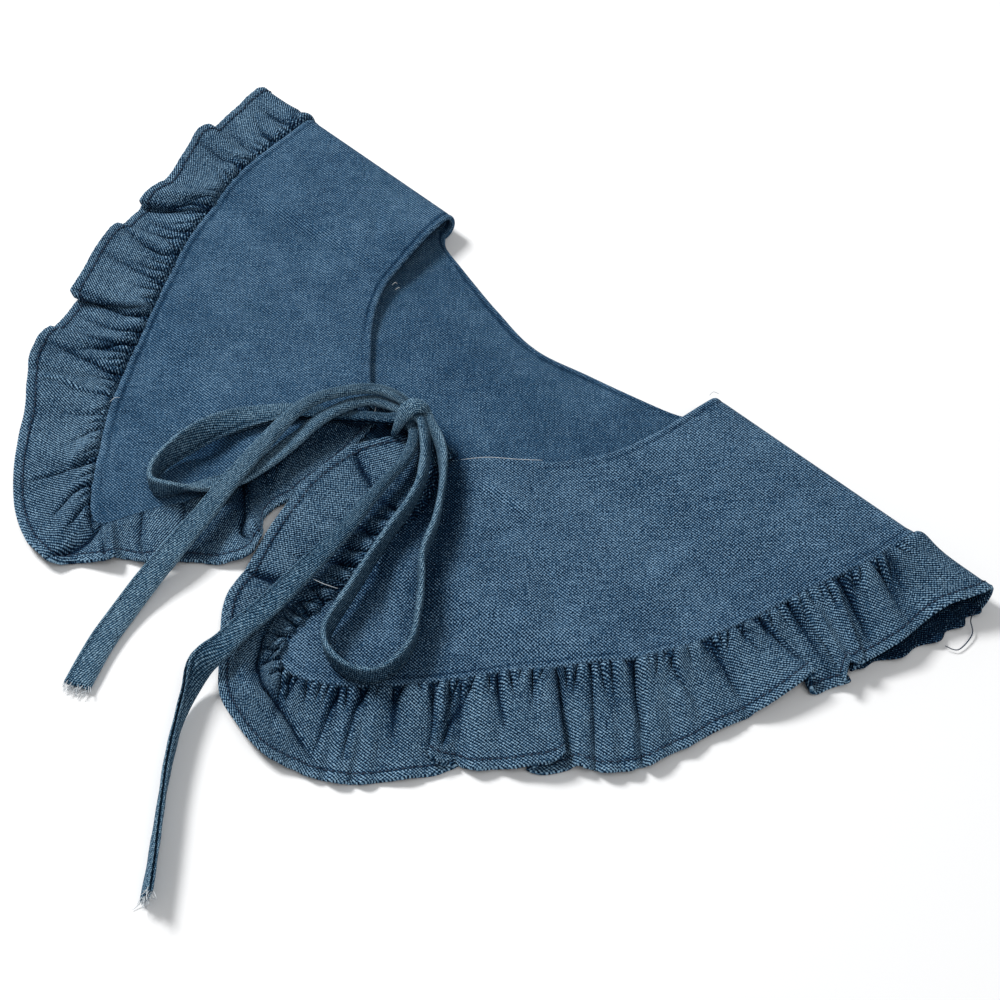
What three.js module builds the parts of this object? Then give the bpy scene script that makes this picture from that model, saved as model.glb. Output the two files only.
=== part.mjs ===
// A detachable denim collar with a gathered ruffle and two ties, laid flat and folded
// along its shoulders.  Millimetres, +Z up, resting on z = 0.
//
// The shapes are drawn in the collar's own plan: x runs along the shoulder folds towards
// the wearer's left, y towards the back of the neck, and (0, 0) is the middle of the neck
// on the outer edge of the folds.  The finished group is then moved so that its origin is
// the bottom centre of the collar without its ties.
import * as THREE from 'three';

// ---------------------------------------------------------------- driving dimensions
const BODY_WALL = 2.0;         // two plies of denim, bagged out and pressed
const RUFFLE_WALL = 1.1;       // one ply of denim
const TIE_WIDTH = 11;          // finished width of the folded tie
const TIE_WALL = 3.4;          // four plies, softly pressed
const GAP = 0.3;               // left between pieces that are sewn together
const SEAM_ROOM = 0.85;        // gap at a ruffle's seam, with room for the facets of a curve
const FOLD_RADIUS = 5.5;       // shoulder fold, to the middle of the wall
const FOLD_Y = -7.0;           // plan line where the fold's bend begins
const SETTLE = 78;             // distance over which the front layer comes down from the fold
const OVER_BACK = 5.4;         // middle of the front layer where it lies on the back ruffle
const RUFFLE_DRAPE = 0.75;     // how early a ruffle fold reaches its height, as a power
const CENTRE_X = 3.05;         // bottom centre of the collar, in its own plan
const CENTRE_Y = -127.04;

// The back is one half ellipse at the ruffle seam and a wider one at the ruffle's hem.
const BACK = { midX: 3, seamWide: 184, seamDeep: 112, hemWide: 222, hemDeep: 152 };

// ---------------------------------------------------------------- outline tables
// Each row is one turn of the edge, from the shoulder fold round to the centre front.
const NECK_FRONT = {
  right: [
    { x: 81, y: -7 }, { x: 79, y: -22 }, { x: 76, y: -38 }, { x: 69, y: -56 },
    { x: 55, y: -75 }, { x: 38, y: -89 }, { x: 23, y: -106 },
  ],
  left: [
    { x: -81, y: -7 }, { x: -79, y: -20 }, { x: -75, y: -38 }, { x: -71, y: -54 },
    { x: -60, y: -71 }, { x: -43, y: -88 }, { x: -26, y: -103 },
  ],
};
const HEM_FRONT = {
  right: [
    { x: 187, y: -7 }, { x: 181, y: -25 }, { x: 172, y: -56 }, { x: 158, y: -99 },
    { x: 133, y: -141 }, { x: 101, y: -183 }, { x: 74, y: -213 }, { x: 58, y: -222 },
    { x: 48, y: -219 }, { x: 44, y: -208 },
  ],
  left: [
    { x: -181, y: -7 }, { x: -182, y: -26 }, { x: -177, y: -58 }, { x: -159, y: -97 },
    { x: -135, y: -138 }, { x: -107, y: -179 }, { x: -84, y: -205 }, { x: -66, y: -224 },
    { x: -57, y: -228 }, { x: -50, y: -223 },
  ],
};
const FRONT_EDGE = {
  right: [{ x: 44, y: -208 }, { x: 42, y: -180 }, { x: 39, y: -150 }, { x: 35, y: -126 }, { x: 23, y: -106 }],
  left: [{ x: -50, y: -223 }, { x: -42, y: -195 }, { x: -35, y: -165 }, { x: -33, y: -130 }, { x: -26, y: -103 }],
};
const NECK_BACK = [
  { x: 81, y: -7 }, { x: 74, y: -14 }, { x: 58, y: -19 }, { x: 28, y: -25 }, { x: 0, y: -30 },
  { x: -28, y: -25 }, { x: -56, y: -18 }, { x: -74, y: -13 }, { x: -81, y: -7 },
];

// One row for each fold of a front ruffle, from the shoulder round to the neck: "along" is
// the distance along the seam, x and y are where the fold meets the hem, and "rise" is the
// height of the hem there.  High rows are crests, low rows are valleys.
const RUFFLE_FOLDS = {
  right: [
    { along: 0, x: 224, y: -7, rise: 13.3 }, { along: 10, x: 220, y: -25, rise: 12 },
    { along: 20, x: 216, y: -42, rise: 9.5 }, { along: 30, x: 211, y: -57, rise: 6.6 },
    { along: 36, x: 209, y: -65, rise: 5 }, { along: 41, x: 212, y: -70, rise: 9.5 },
    { along: 47, x: 209, y: -79, rise: 7.5 }, { along: 53, x: 204, y: -84, rise: 4.8 },
    { along: 58, x: 201, y: -86, rise: 8.8 }, { along: 67, x: 199, y: -95, rise: 7.4 },
    { along: 80, x: 197, y: -106, rise: 5.5 }, { along: 93, x: 194, y: -116, rise: 3.8 },
    { along: 102, x: 192, y: -127, rise: 6 }, { along: 114, x: 187, y: -143, rise: 4.2 },
    { along: 125, x: 181, y: -157, rise: 1.2 }, { along: 133, x: 177, y: -165, rise: 5.8 },
    { along: 140, x: 170, y: -171, rise: 1.4 }, { along: 147, x: 166, y: -176, rise: 5.2 },
    { along: 153, x: 163, y: -181, rise: 0.9 }, { along: 159, x: 158, y: -182, rise: 7.2 },
    { along: 168, x: 152, y: -188, rise: 6 }, { along: 180, x: 145, y: -196, rise: 4.6 },
    { along: 189, x: 139, y: -202, rise: 6.4 }, { along: 196, x: 132, y: -208, rise: 7.4 },
    { along: 203, x: 130, y: -214, rise: 1.2 }, { along: 214, x: 125, y: -223, rise: 4.6 },
    { along: 227, x: 118, y: -231, rise: 2.2 }, { along: 237, x: 109, y: -240, rise: 4.8 },
    { along: 246, x: 99, y: -246, rise: 2.8 }, { along: 254, x: 88, y: -250, rise: 2 },
    { along: 261, x: 77, y: -252, rise: 7.4 }, { along: 267, x: 63, y: -251, rise: 8.2 },
    { along: 273, x: 50, y: -247, rise: 6.6 }, { along: 280, x: 36, y: -238, rise: 5.2 },
    { along: 288, x: 25, y: -227, rise: 2.6 }, { along: 298, x: 16, y: -216, rise: 4.6 },
    { along: 311, x: 9, y: -201, rise: 2.6 }, { along: 325, x: 3, y: -187, rise: 5.6 },
    { along: 341, x: -3, y: -171, rise: 7.6 }, { along: 356, x: -9, y: -154, rise: 8.4 },
    { along: 367, x: -12, y: -137, rise: 8 }, { along: 376, x: -8, y: -123, rise: 8.2 },
    { along: 384, x: 5, y: -112, rise: 6.2 },
  ],
  left: [
    { along: 0, x: -215, y: -7, rise: 13.3 }, { along: 8, x: -215, y: -21, rise: 12.4 },
    { along: 17, x: -213, y: -32, rise: 8 }, { along: 25, x: -216, y: -41, rise: 11.4 },
    { along: 34, x: -213, y: -52, rise: 9.4 }, { along: 46, x: -205, y: -66, rise: 7 },
    { along: 57, x: -200, y: -79, rise: 5.2 }, { along: 64, x: -198, y: -91, rise: 9.4 },
    { along: 70, x: -194, y: -97, rise: 4.8 }, { along: 77, x: -191, y: -109, rise: 5.4 },
    { along: 84, x: -190, y: -119, rise: 9.2 }, { along: 106, x: -180, y: -138, rise: 7.4 },
    { along: 127, x: -169, y: -155, rise: 8.4 }, { along: 134, x: -166, y: -160, rise: 1.4 },
    { along: 144, x: -160, y: -169, rise: 2.6 }, { along: 153, x: -157, y: -178, rise: 8.2 },
    { along: 169, x: -153, y: -188, rise: 6 }, { along: 183, x: -148, y: -195, rise: 3.8 },
    { along: 196, x: -137, y: -206, rise: 1.8 }, { along: 212, x: -120, y: -219, rise: 3.6 },
    { along: 229, x: -106, y: -231, rise: 1.4 }, { along: 244, x: -92, y: -243, rise: 3.2 },
    { along: 257, x: -76, y: -251, rise: 4.6 }, { along: 265, x: -61, y: -254, rise: 1.2 },
    { along: 272, x: -48, y: -252, rise: 6.4 }, { along: 280, x: -41, y: -244, rise: 1.6 },
    { along: 290, x: -34, y: -235, rise: 3.4 }, { along: 301, x: -23, y: -226, rise: 1.6 },
    { along: 312, x: -11, y: -215, rise: 4.4 }, { along: 321, x: -3, y: -207, rise: 1.4 },
    { along: 329, x: 1, y: -198, rise: 4.8 }, { along: 337, x: -3, y: -188, rise: 3 },
    { along: 348, x: -8, y: -177, rise: 5.4 }, { along: 362, x: -8, y: -162, rise: 5 },
    { along: 377, x: -8, y: -147, rise: 5.4 }, { along: 392, x: -10, y: -128, rise: 5 },
    { along: 404, x: -14, y: -112, rise: 4.6 },
  ],
};

// The ties, as the middle line of the flat strip: "roll" is how far it is turned from lying
// flat, in degrees, so 90 stands on its edge, and "wide" is the share of its full width that
// the knot leaves it.  Each runs on into the knot, which trims it.
const TIES = {
  tie_left_root: [
    { x: -25, y: -104, z: 8, roll: 0, wide: 1 }, { x: -18, y: -104, z: 7.8, roll: 0, wide: 1 },
    { x: -8, y: -104, z: 7.8, roll: 0, wide: 0.8 }, { x: -1, y: -104, z: 7.8, roll: 0, wide: 0.6 },
  ],
  tie_left_loop: [
    { x: -3, y: -104, z: 13.6, roll: -6, wide: 0.45 }, { x: -12, y: -106, z: 13.5, roll: -16, wide: 0.44 },
    { x: -19, y: -110, z: 13.5, roll: -14, wide: 0.48 }, { x: -24, y: -119, z: 13, roll: -14, wide: 0.56 },
    { x: -26, y: -132, z: 12.6, roll: -22, wide: 0.68 }, { x: -26, y: -149, z: 10.3, roll: -20, wide: 0.82 },
    { x: -26, y: -163, z: 9.4, roll: -22, wide: 0.94 }, { x: -29, y: -175, z: 7.6, roll: -18, wide: 1 },
    { x: -36, y: -187, z: 6.8, roll: -30, wide: 1 }, { x: -43, y: -198, z: 7.9, roll: -76, wide: 1 },
    { x: -50, y: -202, z: 8.3, roll: -88, wide: 1 }, { x: -56, y: -196, z: 8.4, roll: -88, wide: 1 },
    { x: -58, y: -184, z: 8.8, roll: -72, wide: 1 }, { x: -56, y: -168, z: 10.6, roll: -40, wide: 1 },
    { x: -52, y: -154, z: 9.8, roll: -14, wide: 1 }, { x: -46, y: -142, z: 8.9, roll: 0, wide: 0.9 },
    { x: -38, y: -132, z: 8.9, roll: 0, wide: 0.72 }, { x: -24, y: -121.5, z: 9, roll: 0, wide: 0.58 },
    { x: -13, y: -114.5, z: 10.9, roll: 0, wide: 0.5 }, { x: -5.5, y: -109.2, z: 12, roll: 0, wide: 0.54 },
  ],
  tie_left_tail: [
    { x: -6, y: -102, z: 17.2, roll: 0, wide: 0.44 }, { x: -11, y: -103, z: 17.9, roll: 0, wide: 0.44 },
    { x: -17, y: -105, z: 17.9, roll: 0, wide: 0.44 }, { x: -23, y: -110, z: 17.8, roll: 0, wide: 0.44 },
    { x: -28, y: -117, z: 17.5, roll: 0, wide: 0.46 }, { x: -32, y: -125, z: 17.2, roll: 0, wide: 0.5 },
    { x: -34, y: -134, z: 16.6, roll: 0, wide: 0.55 }, { x: -33, y: -145, z: 16, roll: 0, wide: 0.6 },
    { x: -29, y: -165, z: 14.4, roll: 0, wide: 0.68 }, { x: -25, y: -183, z: 12.6, roll: 0, wide: 0.78 },
    { x: -21, y: -198, z: 10.8, roll: 0, wide: 0.86 }, { x: -17, y: -216, z: 8.8, roll: 0, wide: 0.94 },
    { x: -14, y: -233, z: 5, roll: 0, wide: 1 }, { x: -10, y: -248, z: 2.4, roll: 0, wide: 1 },
    { x: -4, y: -264, z: 1.9, roll: 0, wide: 1 }, { x: 6, y: -283, z: 1.9, roll: 0, wide: 1 },
  ],
  tie_right_root: [
    { x: 26, y: -107.4, z: 8.8, roll: 0, wide: 1 }, { x: 19, y: -106.2, z: 8.5, roll: 0, wide: 0.95 },
    { x: 11, y: -104.3, z: 8.4, roll: 0, wide: 0.8 }, { x: 3, y: -102.8, z: 8.5, roll: 0, wide: 0.6 },
  ],
  tie_right_loop: [
    { x: 5, y: -100, z: 16.6, roll: -12, wide: 0.44 }, { x: 10, y: -102, z: 16.1, roll: -34, wide: 0.44 },
    { x: 18, y: -105, z: 15.3, roll: -56, wide: 0.5 }, { x: 25, y: -109, z: 14.8, roll: -74, wide: 0.66 },
    { x: 33, y: -116, z: 13.6, roll: -84, wide: 0.84 }, { x: 41, y: -125, z: 13.2, roll: -84, wide: 1 },
    { x: 50, y: -137, z: 12.8, roll: -84, wide: 1 }, { x: 58, y: -151, z: 12.9, roll: -84, wide: 1 },
    { x: 67, y: -160, z: 11.1, roll: -84, wide: 1 }, { x: 75, y: -169, z: 9.4, roll: -84, wide: 1 },
    { x: 84, y: -181, z: 8.5, roll: -84, wide: 1 }, { x: 87, y: -193, z: 8.4, roll: -84, wide: 1 },
    { x: 85, y: -202, z: 8.4, roll: -84, wide: 1 }, { x: 77, y: -207, z: 8.4, roll: -84, wide: 1 },
    { x: 66, y: -207, z: 8.5, roll: -84, wide: 1 }, { x: 58, y: -202, z: 8.6, roll: -84, wide: 0.94 },
    { x: 54, y: -194, z: 9.2, roll: -84, wide: 0.88 }, { x: 50, y: -182, z: 10.2, roll: -84, wide: 0.82 },
    { x: 44, y: -165, z: 11.4, roll: -84, wide: 0.78 }, { x: 39, y: -150, z: 12, roll: -84, wide: 0.76 },
    { x: 35, y: -137, z: 12.6, roll: -84, wide: 0.72 }, { x: 30, y: -126, z: 13.6, roll: -82, wide: 0.66 },
    { x: 23, y: -117, z: 14.5, roll: -76, wide: 0.6 }, { x: 17, y: -111, z: 15.6, roll: -62, wide: 0.5 },
    { x: 12, y: -107, z: 16.4, roll: -40, wide: 0.44 }, { x: 7, y: -104, z: 16.8, roll: -24, wide: 0.42 },
  ],
  tie_right_tail: [
    { x: 2.4, y: -105.4, z: 12.4, roll: 2, wide: 0.6 }, { x: 7, y: -108, z: 12.6, roll: 4, wide: 0.48 },
    { x: 12, y: -114, z: 12.6, roll: 6, wide: 0.46 }, { x: 16, y: -122, z: 12.6, roll: 8, wide: 0.44 },
    { x: 18, y: -131, z: 12.8, roll: 6, wide: 0.42 }, { x: 21, y: -145, z: 12.2, roll: 4, wide: 0.5 },
    { x: 25, y: -161, z: 11.4, roll: 0, wide: 0.66 }, { x: 28, y: -179, z: 10.6, roll: 0, wide: 0.8 },
    { x: 30, y: -194, z: 9.8, roll: 0, wide: 0.9 }, { x: 32, y: -209, z: 9.2, roll: 0, wide: 0.96 },
    { x: 33, y: -223, z: 9.2, roll: 0, wide: 0.96 }, { x: 35, y: -234, z: 10.1, roll: 6, wide: 0.96 },
    { x: 36, y: -245, z: 9.9, roll: 40, wide: 1 }, { x: 41, y: -255.5, z: 7, roll: 78, wide: 1 },
    { x: 48.4, y: -266.8, z: 6, roll: 94, wide: 1 }, { x: 61, y: -281.8, z: 5.8, roll: 98, wide: 1 },
    { x: 76.5, y: -297.8, z: 5.8, roll: 104, wide: 1 }, { x: 89, y: -310.5, z: 5.8, roll: 110, wide: 1 },
    { x: 98.5, y: -320.5, z: 5.8, roll: 114, wide: 1 },
  ],
};
const KNOT = { x: 0, y: -104, z: 12.6, long: 8, wide: 6.6, high: 6.4, turn: 45 };

// ---------------------------------------------------------------- small helpers
const clamp01 = (value) => Math.min(1, Math.max(0, value));

function ease(from, to, value) {
  const part = clamp01((value - from) / (to - from));
  return part * part * (3 - 2 * part);
}

function mix(a, b, part) {
  return a + (b - a) * part;
}

// A smooth curve through a column of a table (uniform Catmull-Rom), at a row number that
// may lie between two rows.
function through(rows, key, row) {
  const last = rows.length - 1;
  const start = Math.min(last - 1, Math.max(0, Math.floor(row)));
  const part = row - start;
  const before = rows[Math.max(0, start - 1)][key];
  const from = rows[start][key];
  const to = rows[start + 1][key];
  const after = rows[Math.min(last, start + 2)][key];
  const rise = (to - before) / 2;
  const fall = (after - from) / 2;
  const square = part * part;
  const cube = square * part;
  return (2 * cube - 3 * square + 1) * from + (cube - 2 * square + part) * rise
    + (3 * square - 2 * cube) * to + (cube - square) * fall;
}

// The same curve as points at even steps of length: at(share) takes 0 to 1.
function edgeThrough(rows) {
  const steps = 40 * (rows.length - 1);
  const points = [];
  const lengths = [0];
  for (let i = 0; i <= steps; i += 1) {
    const row = (i / steps) * (rows.length - 1);
    points.push(new THREE.Vector2(through(rows, 'x', row), through(rows, 'y', row)));
    if (i > 0) lengths.push(lengths[i - 1] + points[i].distanceTo(points[i - 1]));
  }
  const length = lengths[steps];
  const at = (share) => {
    const wanted = clamp01(share) * length;
    let i = 1;
    while (i < steps && lengths[i] < wanted) i += 1;
    const part = clamp01((wanted - lengths[i - 1]) / (lengths[i] - lengths[i - 1]));
    return points[i - 1].clone().lerp(points[i], part);
  };
  return { at, length };
}

// A patch filled in between four edges (a Coons patch): near and far run with s, start and
// end run with t.
function patch(near, far, start, end) {
  return (s, t) => {
    const across = near(s).multiplyScalar(1 - t).add(far(s).multiplyScalar(t));
    const along = start(t).multiplyScalar(1 - s).add(end(t).multiplyScalar(s));
    const corners = near(0).multiplyScalar((1 - s) * (1 - t)).add(near(1).multiplyScalar(s * (1 - t)))
      .add(far(0).multiplyScalar((1 - s) * t)).add(far(1).multiplyScalar(s * t));
    return across.add(along).sub(corners);
  };
}

// A closed wall on both sides of a middle surface, given as rows of points.
function wall(rows, thickness) {
  const countRow = rows.length;
  const countCol = rows[0].length;
  const positions = [];
  const normalAt = (i, j) => {
    const down = rows[Math.min(countRow - 1, i + 1)][j].clone().sub(rows[Math.max(0, i - 1)][j]);
    const over = rows[i][Math.min(countCol - 1, j + 1)].clone().sub(rows[i][Math.max(0, j - 1)]);
    return down.cross(over).normalize();
  };
  for (const side of [1, -1]) {
    for (let i = 0; i < countRow; i += 1) {
      for (let j = 0; j < countCol; j += 1) {
        const point = rows[i][j].clone().addScaledVector(normalAt(i, j), side * thickness / 2);
        positions.push(point.x, point.y, point.z);
      }
    }
  }
  const layer = countRow * countCol;
  const index = [];
  const quad = (a, b, c, d) => index.push(a, b, c, a, c, d);
  const id = (i, j, side) => side * layer + i * countCol + j;
  for (let i = 0; i < countRow - 1; i += 1) {
    for (let j = 0; j < countCol - 1; j += 1) {
      quad(id(i, j, 0), id(i + 1, j, 0), id(i + 1, j + 1, 0), id(i, j + 1, 0));
      quad(id(i, j, 1), id(i, j + 1, 1), id(i + 1, j + 1, 1), id(i + 1, j, 1));
    }
  }
  for (let i = 0; i < countRow - 1; i += 1) {
    quad(id(i, 0, 0), id(i, 0, 1), id(i + 1, 0, 1), id(i + 1, 0, 0));
    quad(id(i, countCol - 1, 0), id(i + 1, countCol - 1, 0), id(i + 1, countCol - 1, 1), id(i, countCol - 1, 1));
  }
  for (let j = 0; j < countCol - 1; j += 1) {
    quad(id(0, j, 0), id(0, j + 1, 0), id(0, j + 1, 1), id(0, j, 1));
    quad(id(countRow - 1, j, 0), id(countRow - 1, j, 1), id(countRow - 1, j + 1, 1), id(countRow - 1, j + 1, 0));
  }
  const geometry = new THREE.BufferGeometry();
  geometry.setAttribute('position', new THREE.Float32BufferAttribute(positions, 3));
  geometry.setIndex(index);
  geometry.computeVertexNormals();
  return geometry;
}

// ---------------------------------------------------------------- heights of the layers
const TABLE_BODY = BODY_WALL / 2 + 0.1;        // middle of a body layer lying on the table
const FOLD_TOP = BODY_WALL / 2 + 2 * FOLD_RADIUS;

// How far out of the back layer's outline a plan point lies: 1 on the back ruffle's hem.
function offBack(x, y) {
  return Math.hypot((x - BACK.midX) / BACK.hemWide, (y - FOLD_Y) / BACK.hemDeep);
}

// Middle of the front layer: down from the top of the shoulder fold, over the back ruffle,
// and off it to the table.
function frontHeight(x, y) {
  const settled = 1 - ease(0, SETTLE, FOLD_Y - y);
  const below = mix(OVER_BACK, TABLE_BODY, ease(0.99, 1.13, offBack(x, y)));
  return mix(below, FOLD_TOP, settled);
}

// ---------------------------------------------------------------- the cloth body
const SIDES = ['left', 'right'];
const FOLD_STEPS = 6;

function bodyFront(side) {
  const neck = edgeThrough(NECK_FRONT[side]);
  const hem = edgeThrough(HEM_FRONT[side]);
  const edge = edgeThrough(FRONT_EDGE[side]);
  const foldLine = (t) => neck.at(0).lerp(hem.at(0), t);
  const plan = patch(neck.at, hem.at, foldLine, (t) => edge.at(1 - t));
  const rows = [];
  const across = 8;
  const down = 20;
  const closer = (part) => mix(part, 1 - (1 - part) ** 2, 0.6);   // rows crowd towards the tip
  for (let i = 0; i < FOLD_STEPS; i += 1) {
    const angle = -Math.PI / 2 + (i / FOLD_STEPS) * Math.PI;
    const row = [];
    for (let j = 0; j <= across; j += 1) {
      const point = foldLine(j / across);
      row.push(new THREE.Vector3(point.x, FOLD_Y + FOLD_RADIUS * Math.cos(angle),
        BODY_WALL / 2 + FOLD_RADIUS * (1 + Math.sin(angle))));
    }
    rows.push(row);
  }
  for (let i = 0; i <= down; i += 1) {
    const row = [];
    for (let j = 0; j <= across; j += 1) {
      const point = plan(closer(i / down), j / across);
      row.push(new THREE.Vector3(point.x, point.y, frontHeight(point.x, point.y)));
    }
    rows.push(row);
  }
  return wall(rows, BODY_WALL);
}

// The back seam is half an ellipse, running from the right shoulder round to the left.
function backSeam(share, wide, deep) {
  const angle = share * Math.PI;
  return new THREE.Vector2(BACK.midX + wide * Math.cos(angle), FOLD_Y - deep * Math.sin(angle));
}

function bodyBack() {
  const neck = edgeThrough(NECK_BACK);
  const seam = (s) => backSeam(s, BACK.seamWide, BACK.seamDeep);
  const plan = patch(neck.at, seam, (t) => neck.at(0).lerp(seam(0), t), (t) => neck.at(1).lerp(seam(1), t));
  const rows = [];
  const along = 28;
  const across = 5;
  for (let i = 0; i <= along; i += 1) {
    const row = [];
    for (let j = 0; j <= across; j += 1) {
      const point = plan(i / along, j / across);
      row.push(new THREE.Vector3(point.x, Math.min(point.y, FOLD_Y - 2 * GAP), BODY_WALL / 2));
    }
    rows.push(row);
  }
  return wall(rows, BODY_WALL);
}

// ---------------------------------------------------------------- the ruffles
// A strip ruled from the seam to the folded hem, starting a gap outside the panel.
function ruffleRow(seam, outward, hem, across) {
  const start = seam.clone().addScaledVector(outward, SEAM_ROOM);
  const row = [];
  for (let j = 0; j <= across; j += 1) {
    const v = j / across;
    const point = start.clone().lerp(hem, v);
    point.z = mix(start.z, hem.z, v ** RUFFLE_DRAPE);
    row.push(point);
  }
  return row;
}

function ruffleFront(side) {
  const hemSeam = edgeThrough(HEM_FRONT[side]);
  const edgeSeam = edgeThrough(FRONT_EDGE[side]);
  const folds = RUFFLE_FOLDS[side];
  const length = folds[folds.length - 1].along;
  const share = hemSeam.length / (hemSeam.length + edgeSeam.length);
  const seamAt = (along) => {
    const part = clamp01(along / length);
    return part < share ? hemSeam.at(part / share) : edgeSeam.at((part - share) / (1 - share));
  };
  const turn = side === 'right' ? 1 : -1;
  const outwardAt = (along) => {
    const ahead = seamAt(along + 1).sub(seamAt(along - 1)).normalize().multiplyScalar(turn);
    return new THREE.Vector3(-ahead.y, ahead.x, 0);
  };
  const across = 3;
  const rows = [];
  const hemRadius = (folds[0].rise - RUFFLE_WALL / 2) / 2;
  for (let i = 0; i < FOLD_STEPS; i += 1) {
    const angle = -Math.PI / 2 + (i / FOLD_STEPS) * Math.PI;
    const seam = new THREE.Vector3(seamAt(0).x, FOLD_Y + FOLD_RADIUS * Math.cos(angle),
      BODY_WALL / 2 + FOLD_RADIUS * (1 + Math.sin(angle)));
    const hem = new THREE.Vector3(folds[0].x, FOLD_Y + hemRadius * Math.cos(angle),
      RUFFLE_WALL / 2 + hemRadius * (1 + Math.sin(angle)));
    rows.push(ruffleRow(seam, new THREE.Vector3(turn, 0, 0), hem, across));
  }
  const steps = 3;
  for (let fold = 0; fold < folds.length; fold += 1) {
    const last = fold === folds.length - 1;
    for (let k = 0; k < (last ? 1 : steps); k += 1) {
      const part = k / steps;
      const next = folds[Math.min(folds.length - 1, fold + 1)];
      const along = mix(folds[fold].along, next.along, part);
      const plan = seamAt(along);
      const seam = new THREE.Vector3(plan.x, plan.y, frontHeight(plan.x, plan.y));
      const hem = new THREE.Vector3(through(folds, 'x', fold + part), through(folds, 'y', fold + part),
        mix(folds[fold].rise, next.rise, ease(0, 1, part)));
      rows.push(ruffleRow(seam, outwardAt(along), hem, across));
    }
  }
  return wall(rows, RUFFLE_WALL);
}

// The back ruffle lies pressed under the front, in low uneven folds.
function ruffleBack() {
  const along = 98;
  const across = 2;
  const folds = 24;
  const low = RUFFLE_WALL / 2;
  const high = 2.6;
  const rows = [];
  for (let i = 0; i <= along; i += 1) {
    const share = i / along;
    const wave = Math.sin(2 * Math.PI * (folds * share + 0.35 * Math.sin(14 * share)));
    const start = backSeam(share, BACK.seamWide, BACK.seamDeep);
    const end = backSeam(share, BACK.hemWide + 1.5 * wave, BACK.hemDeep + 1.5 * wave);
    const seam = new THREE.Vector3(start.x, Math.min(start.y, FOLD_Y - 2 * GAP), BODY_WALL / 2);
    const hem = new THREE.Vector3(end.x, Math.min(end.y, FOLD_Y - 2 * GAP), mix(low, high, (1 + wave) / 2));
    const outward = hem.clone().sub(seam).setZ(0).normalize();
    rows.push(ruffleRow(seam, outward, hem, across));
  }
  return wall(rows, RUFFLE_WALL);
}

// ---------------------------------------------------------------- the ties
// Corners of the flat strip's rounded section, as shares of half its width and thickness.
const TIE_SECTION = [
  { side: 1, bevel: 0.4 }, { side: 0.84, bevel: 1 }, { side: -0.84, bevel: 1 }, { side: -1, bevel: 0.4 },
  { side: -1, bevel: -0.4 }, { side: -0.84, bevel: -1 }, { side: 0.84, bevel: -1 }, { side: 1, bevel: -0.4 },
];

function inKnot(point) {
  const turned = new THREE.Vector3(point.x - KNOT.x, point.y - KNOT.y, point.z - KNOT.z)
    .applyAxisAngle(new THREE.Vector3(0, 0, 1), -THREE.MathUtils.degToRad(KNOT.turn));
  const clear = 2 * GAP;
  return Math.hypot(turned.x / (KNOT.long + clear), turned.y / (KNOT.wide + clear), turned.z / (KNOT.high + clear))
    < 1;
}

// Where the strip is and how it is turned, at a row number of its table.
function tieFrame(rows, row) {
  const last = rows.length - 1;
  const at = (r) => new THREE.Vector3(through(rows, 'x', r), through(rows, 'y', r), through(rows, 'z', r));
  const ahead = at(Math.min(last, row + 0.05)).sub(at(Math.max(0, row - 0.05))).normalize();
  const level = new THREE.Vector3(ahead.y, -ahead.x, 0).normalize();
  const up = level.clone().cross(ahead);
  const roll = THREE.MathUtils.degToRad(through(rows, 'roll', row));
  const width = level.clone().multiplyScalar(Math.cos(roll)).addScaledVector(up, Math.sin(roll));
  const thick = up.clone().multiplyScalar(Math.cos(roll)).addScaledVector(level, -Math.sin(roll));
  const wide = TIE_WIDTH * through(rows, 'wide', row);
  return (side, bevel) => at(row).addScaledVector(width, side * wide / 2)
    .addScaledVector(thick, bevel * TIE_WALL / 2);
}

// The strip leaves the knot at the first row, counted from an end, that is clear of it.
function clearOfKnot(rows, from, step) {
  const touches = (row) => {
    const corner = tieFrame(rows, row);
    for (let side = -1; side <= 1; side += 0.25) {
      if (inKnot(corner(side, 1)) || inKnot(corner(side, -1))) return true;
    }
    return false;
  };
  let row = from;
  while (touches(row)) row += step;
  return row;
}

function tie(rows, steps) {
  const first = clearOfKnot(rows, 0, 0.02);
  const last = clearOfKnot(rows, rows.length - 1, -0.02);
  const positions = [];
  for (let i = 0; i <= steps; i += 1) {
    const corner = tieFrame(rows, mix(first, last, i / steps));
    for (const { side, bevel } of TIE_SECTION) positions.push(...corner(side, bevel).toArray());
  }
  const sides = TIE_SECTION.length;
  const index = [];
  for (let i = 0; i < steps; i += 1) {
    for (let k = 0; k < sides; k += 1) {
      const a = i * sides + k;
      const b = i * sides + ((k + 1) % sides);
      index.push(a, b + sides, b, a, a + sides, b + sides);
    }
  }
  for (let k = 1; k < sides - 1; k += 1) {
    index.push(0, k, k + 1, steps * sides, steps * sides + k + 1, steps * sides + k);
  }
  const geometry = new THREE.BufferGeometry();
  geometry.setAttribute('position', new THREE.Float32BufferAttribute(positions, 3));
  geometry.setIndex(index);
  geometry.computeVertexNormals();
  return geometry;
}

function knot() {
  const geometry = new THREE.SphereGeometry(1, 14, 9);
  geometry.scale(KNOT.long, KNOT.wide, KNOT.high);
  geometry.rotateZ(THREE.MathUtils.degToRad(KNOT.turn));
  geometry.translate(KNOT.x, KNOT.y, KNOT.z);
  return geometry;
}

// ---------------------------------------------------------------- materials and assembly
const denimBody = new THREE.MeshStandardMaterial({ color: 0x33587c, roughness: 0.92, metalness: 0 });
const denimRuffle = new THREE.MeshStandardMaterial({ color: 0x36597a, roughness: 0.92, metalness: 0 });
const denimTie = new THREE.MeshStandardMaterial({ color: 0x3b6184, roughness: 0.9, metalness: 0 });

const collar = new THREE.Group();
collar.position.set(-CENTRE_X, -CENTRE_Y, 0);

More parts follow.
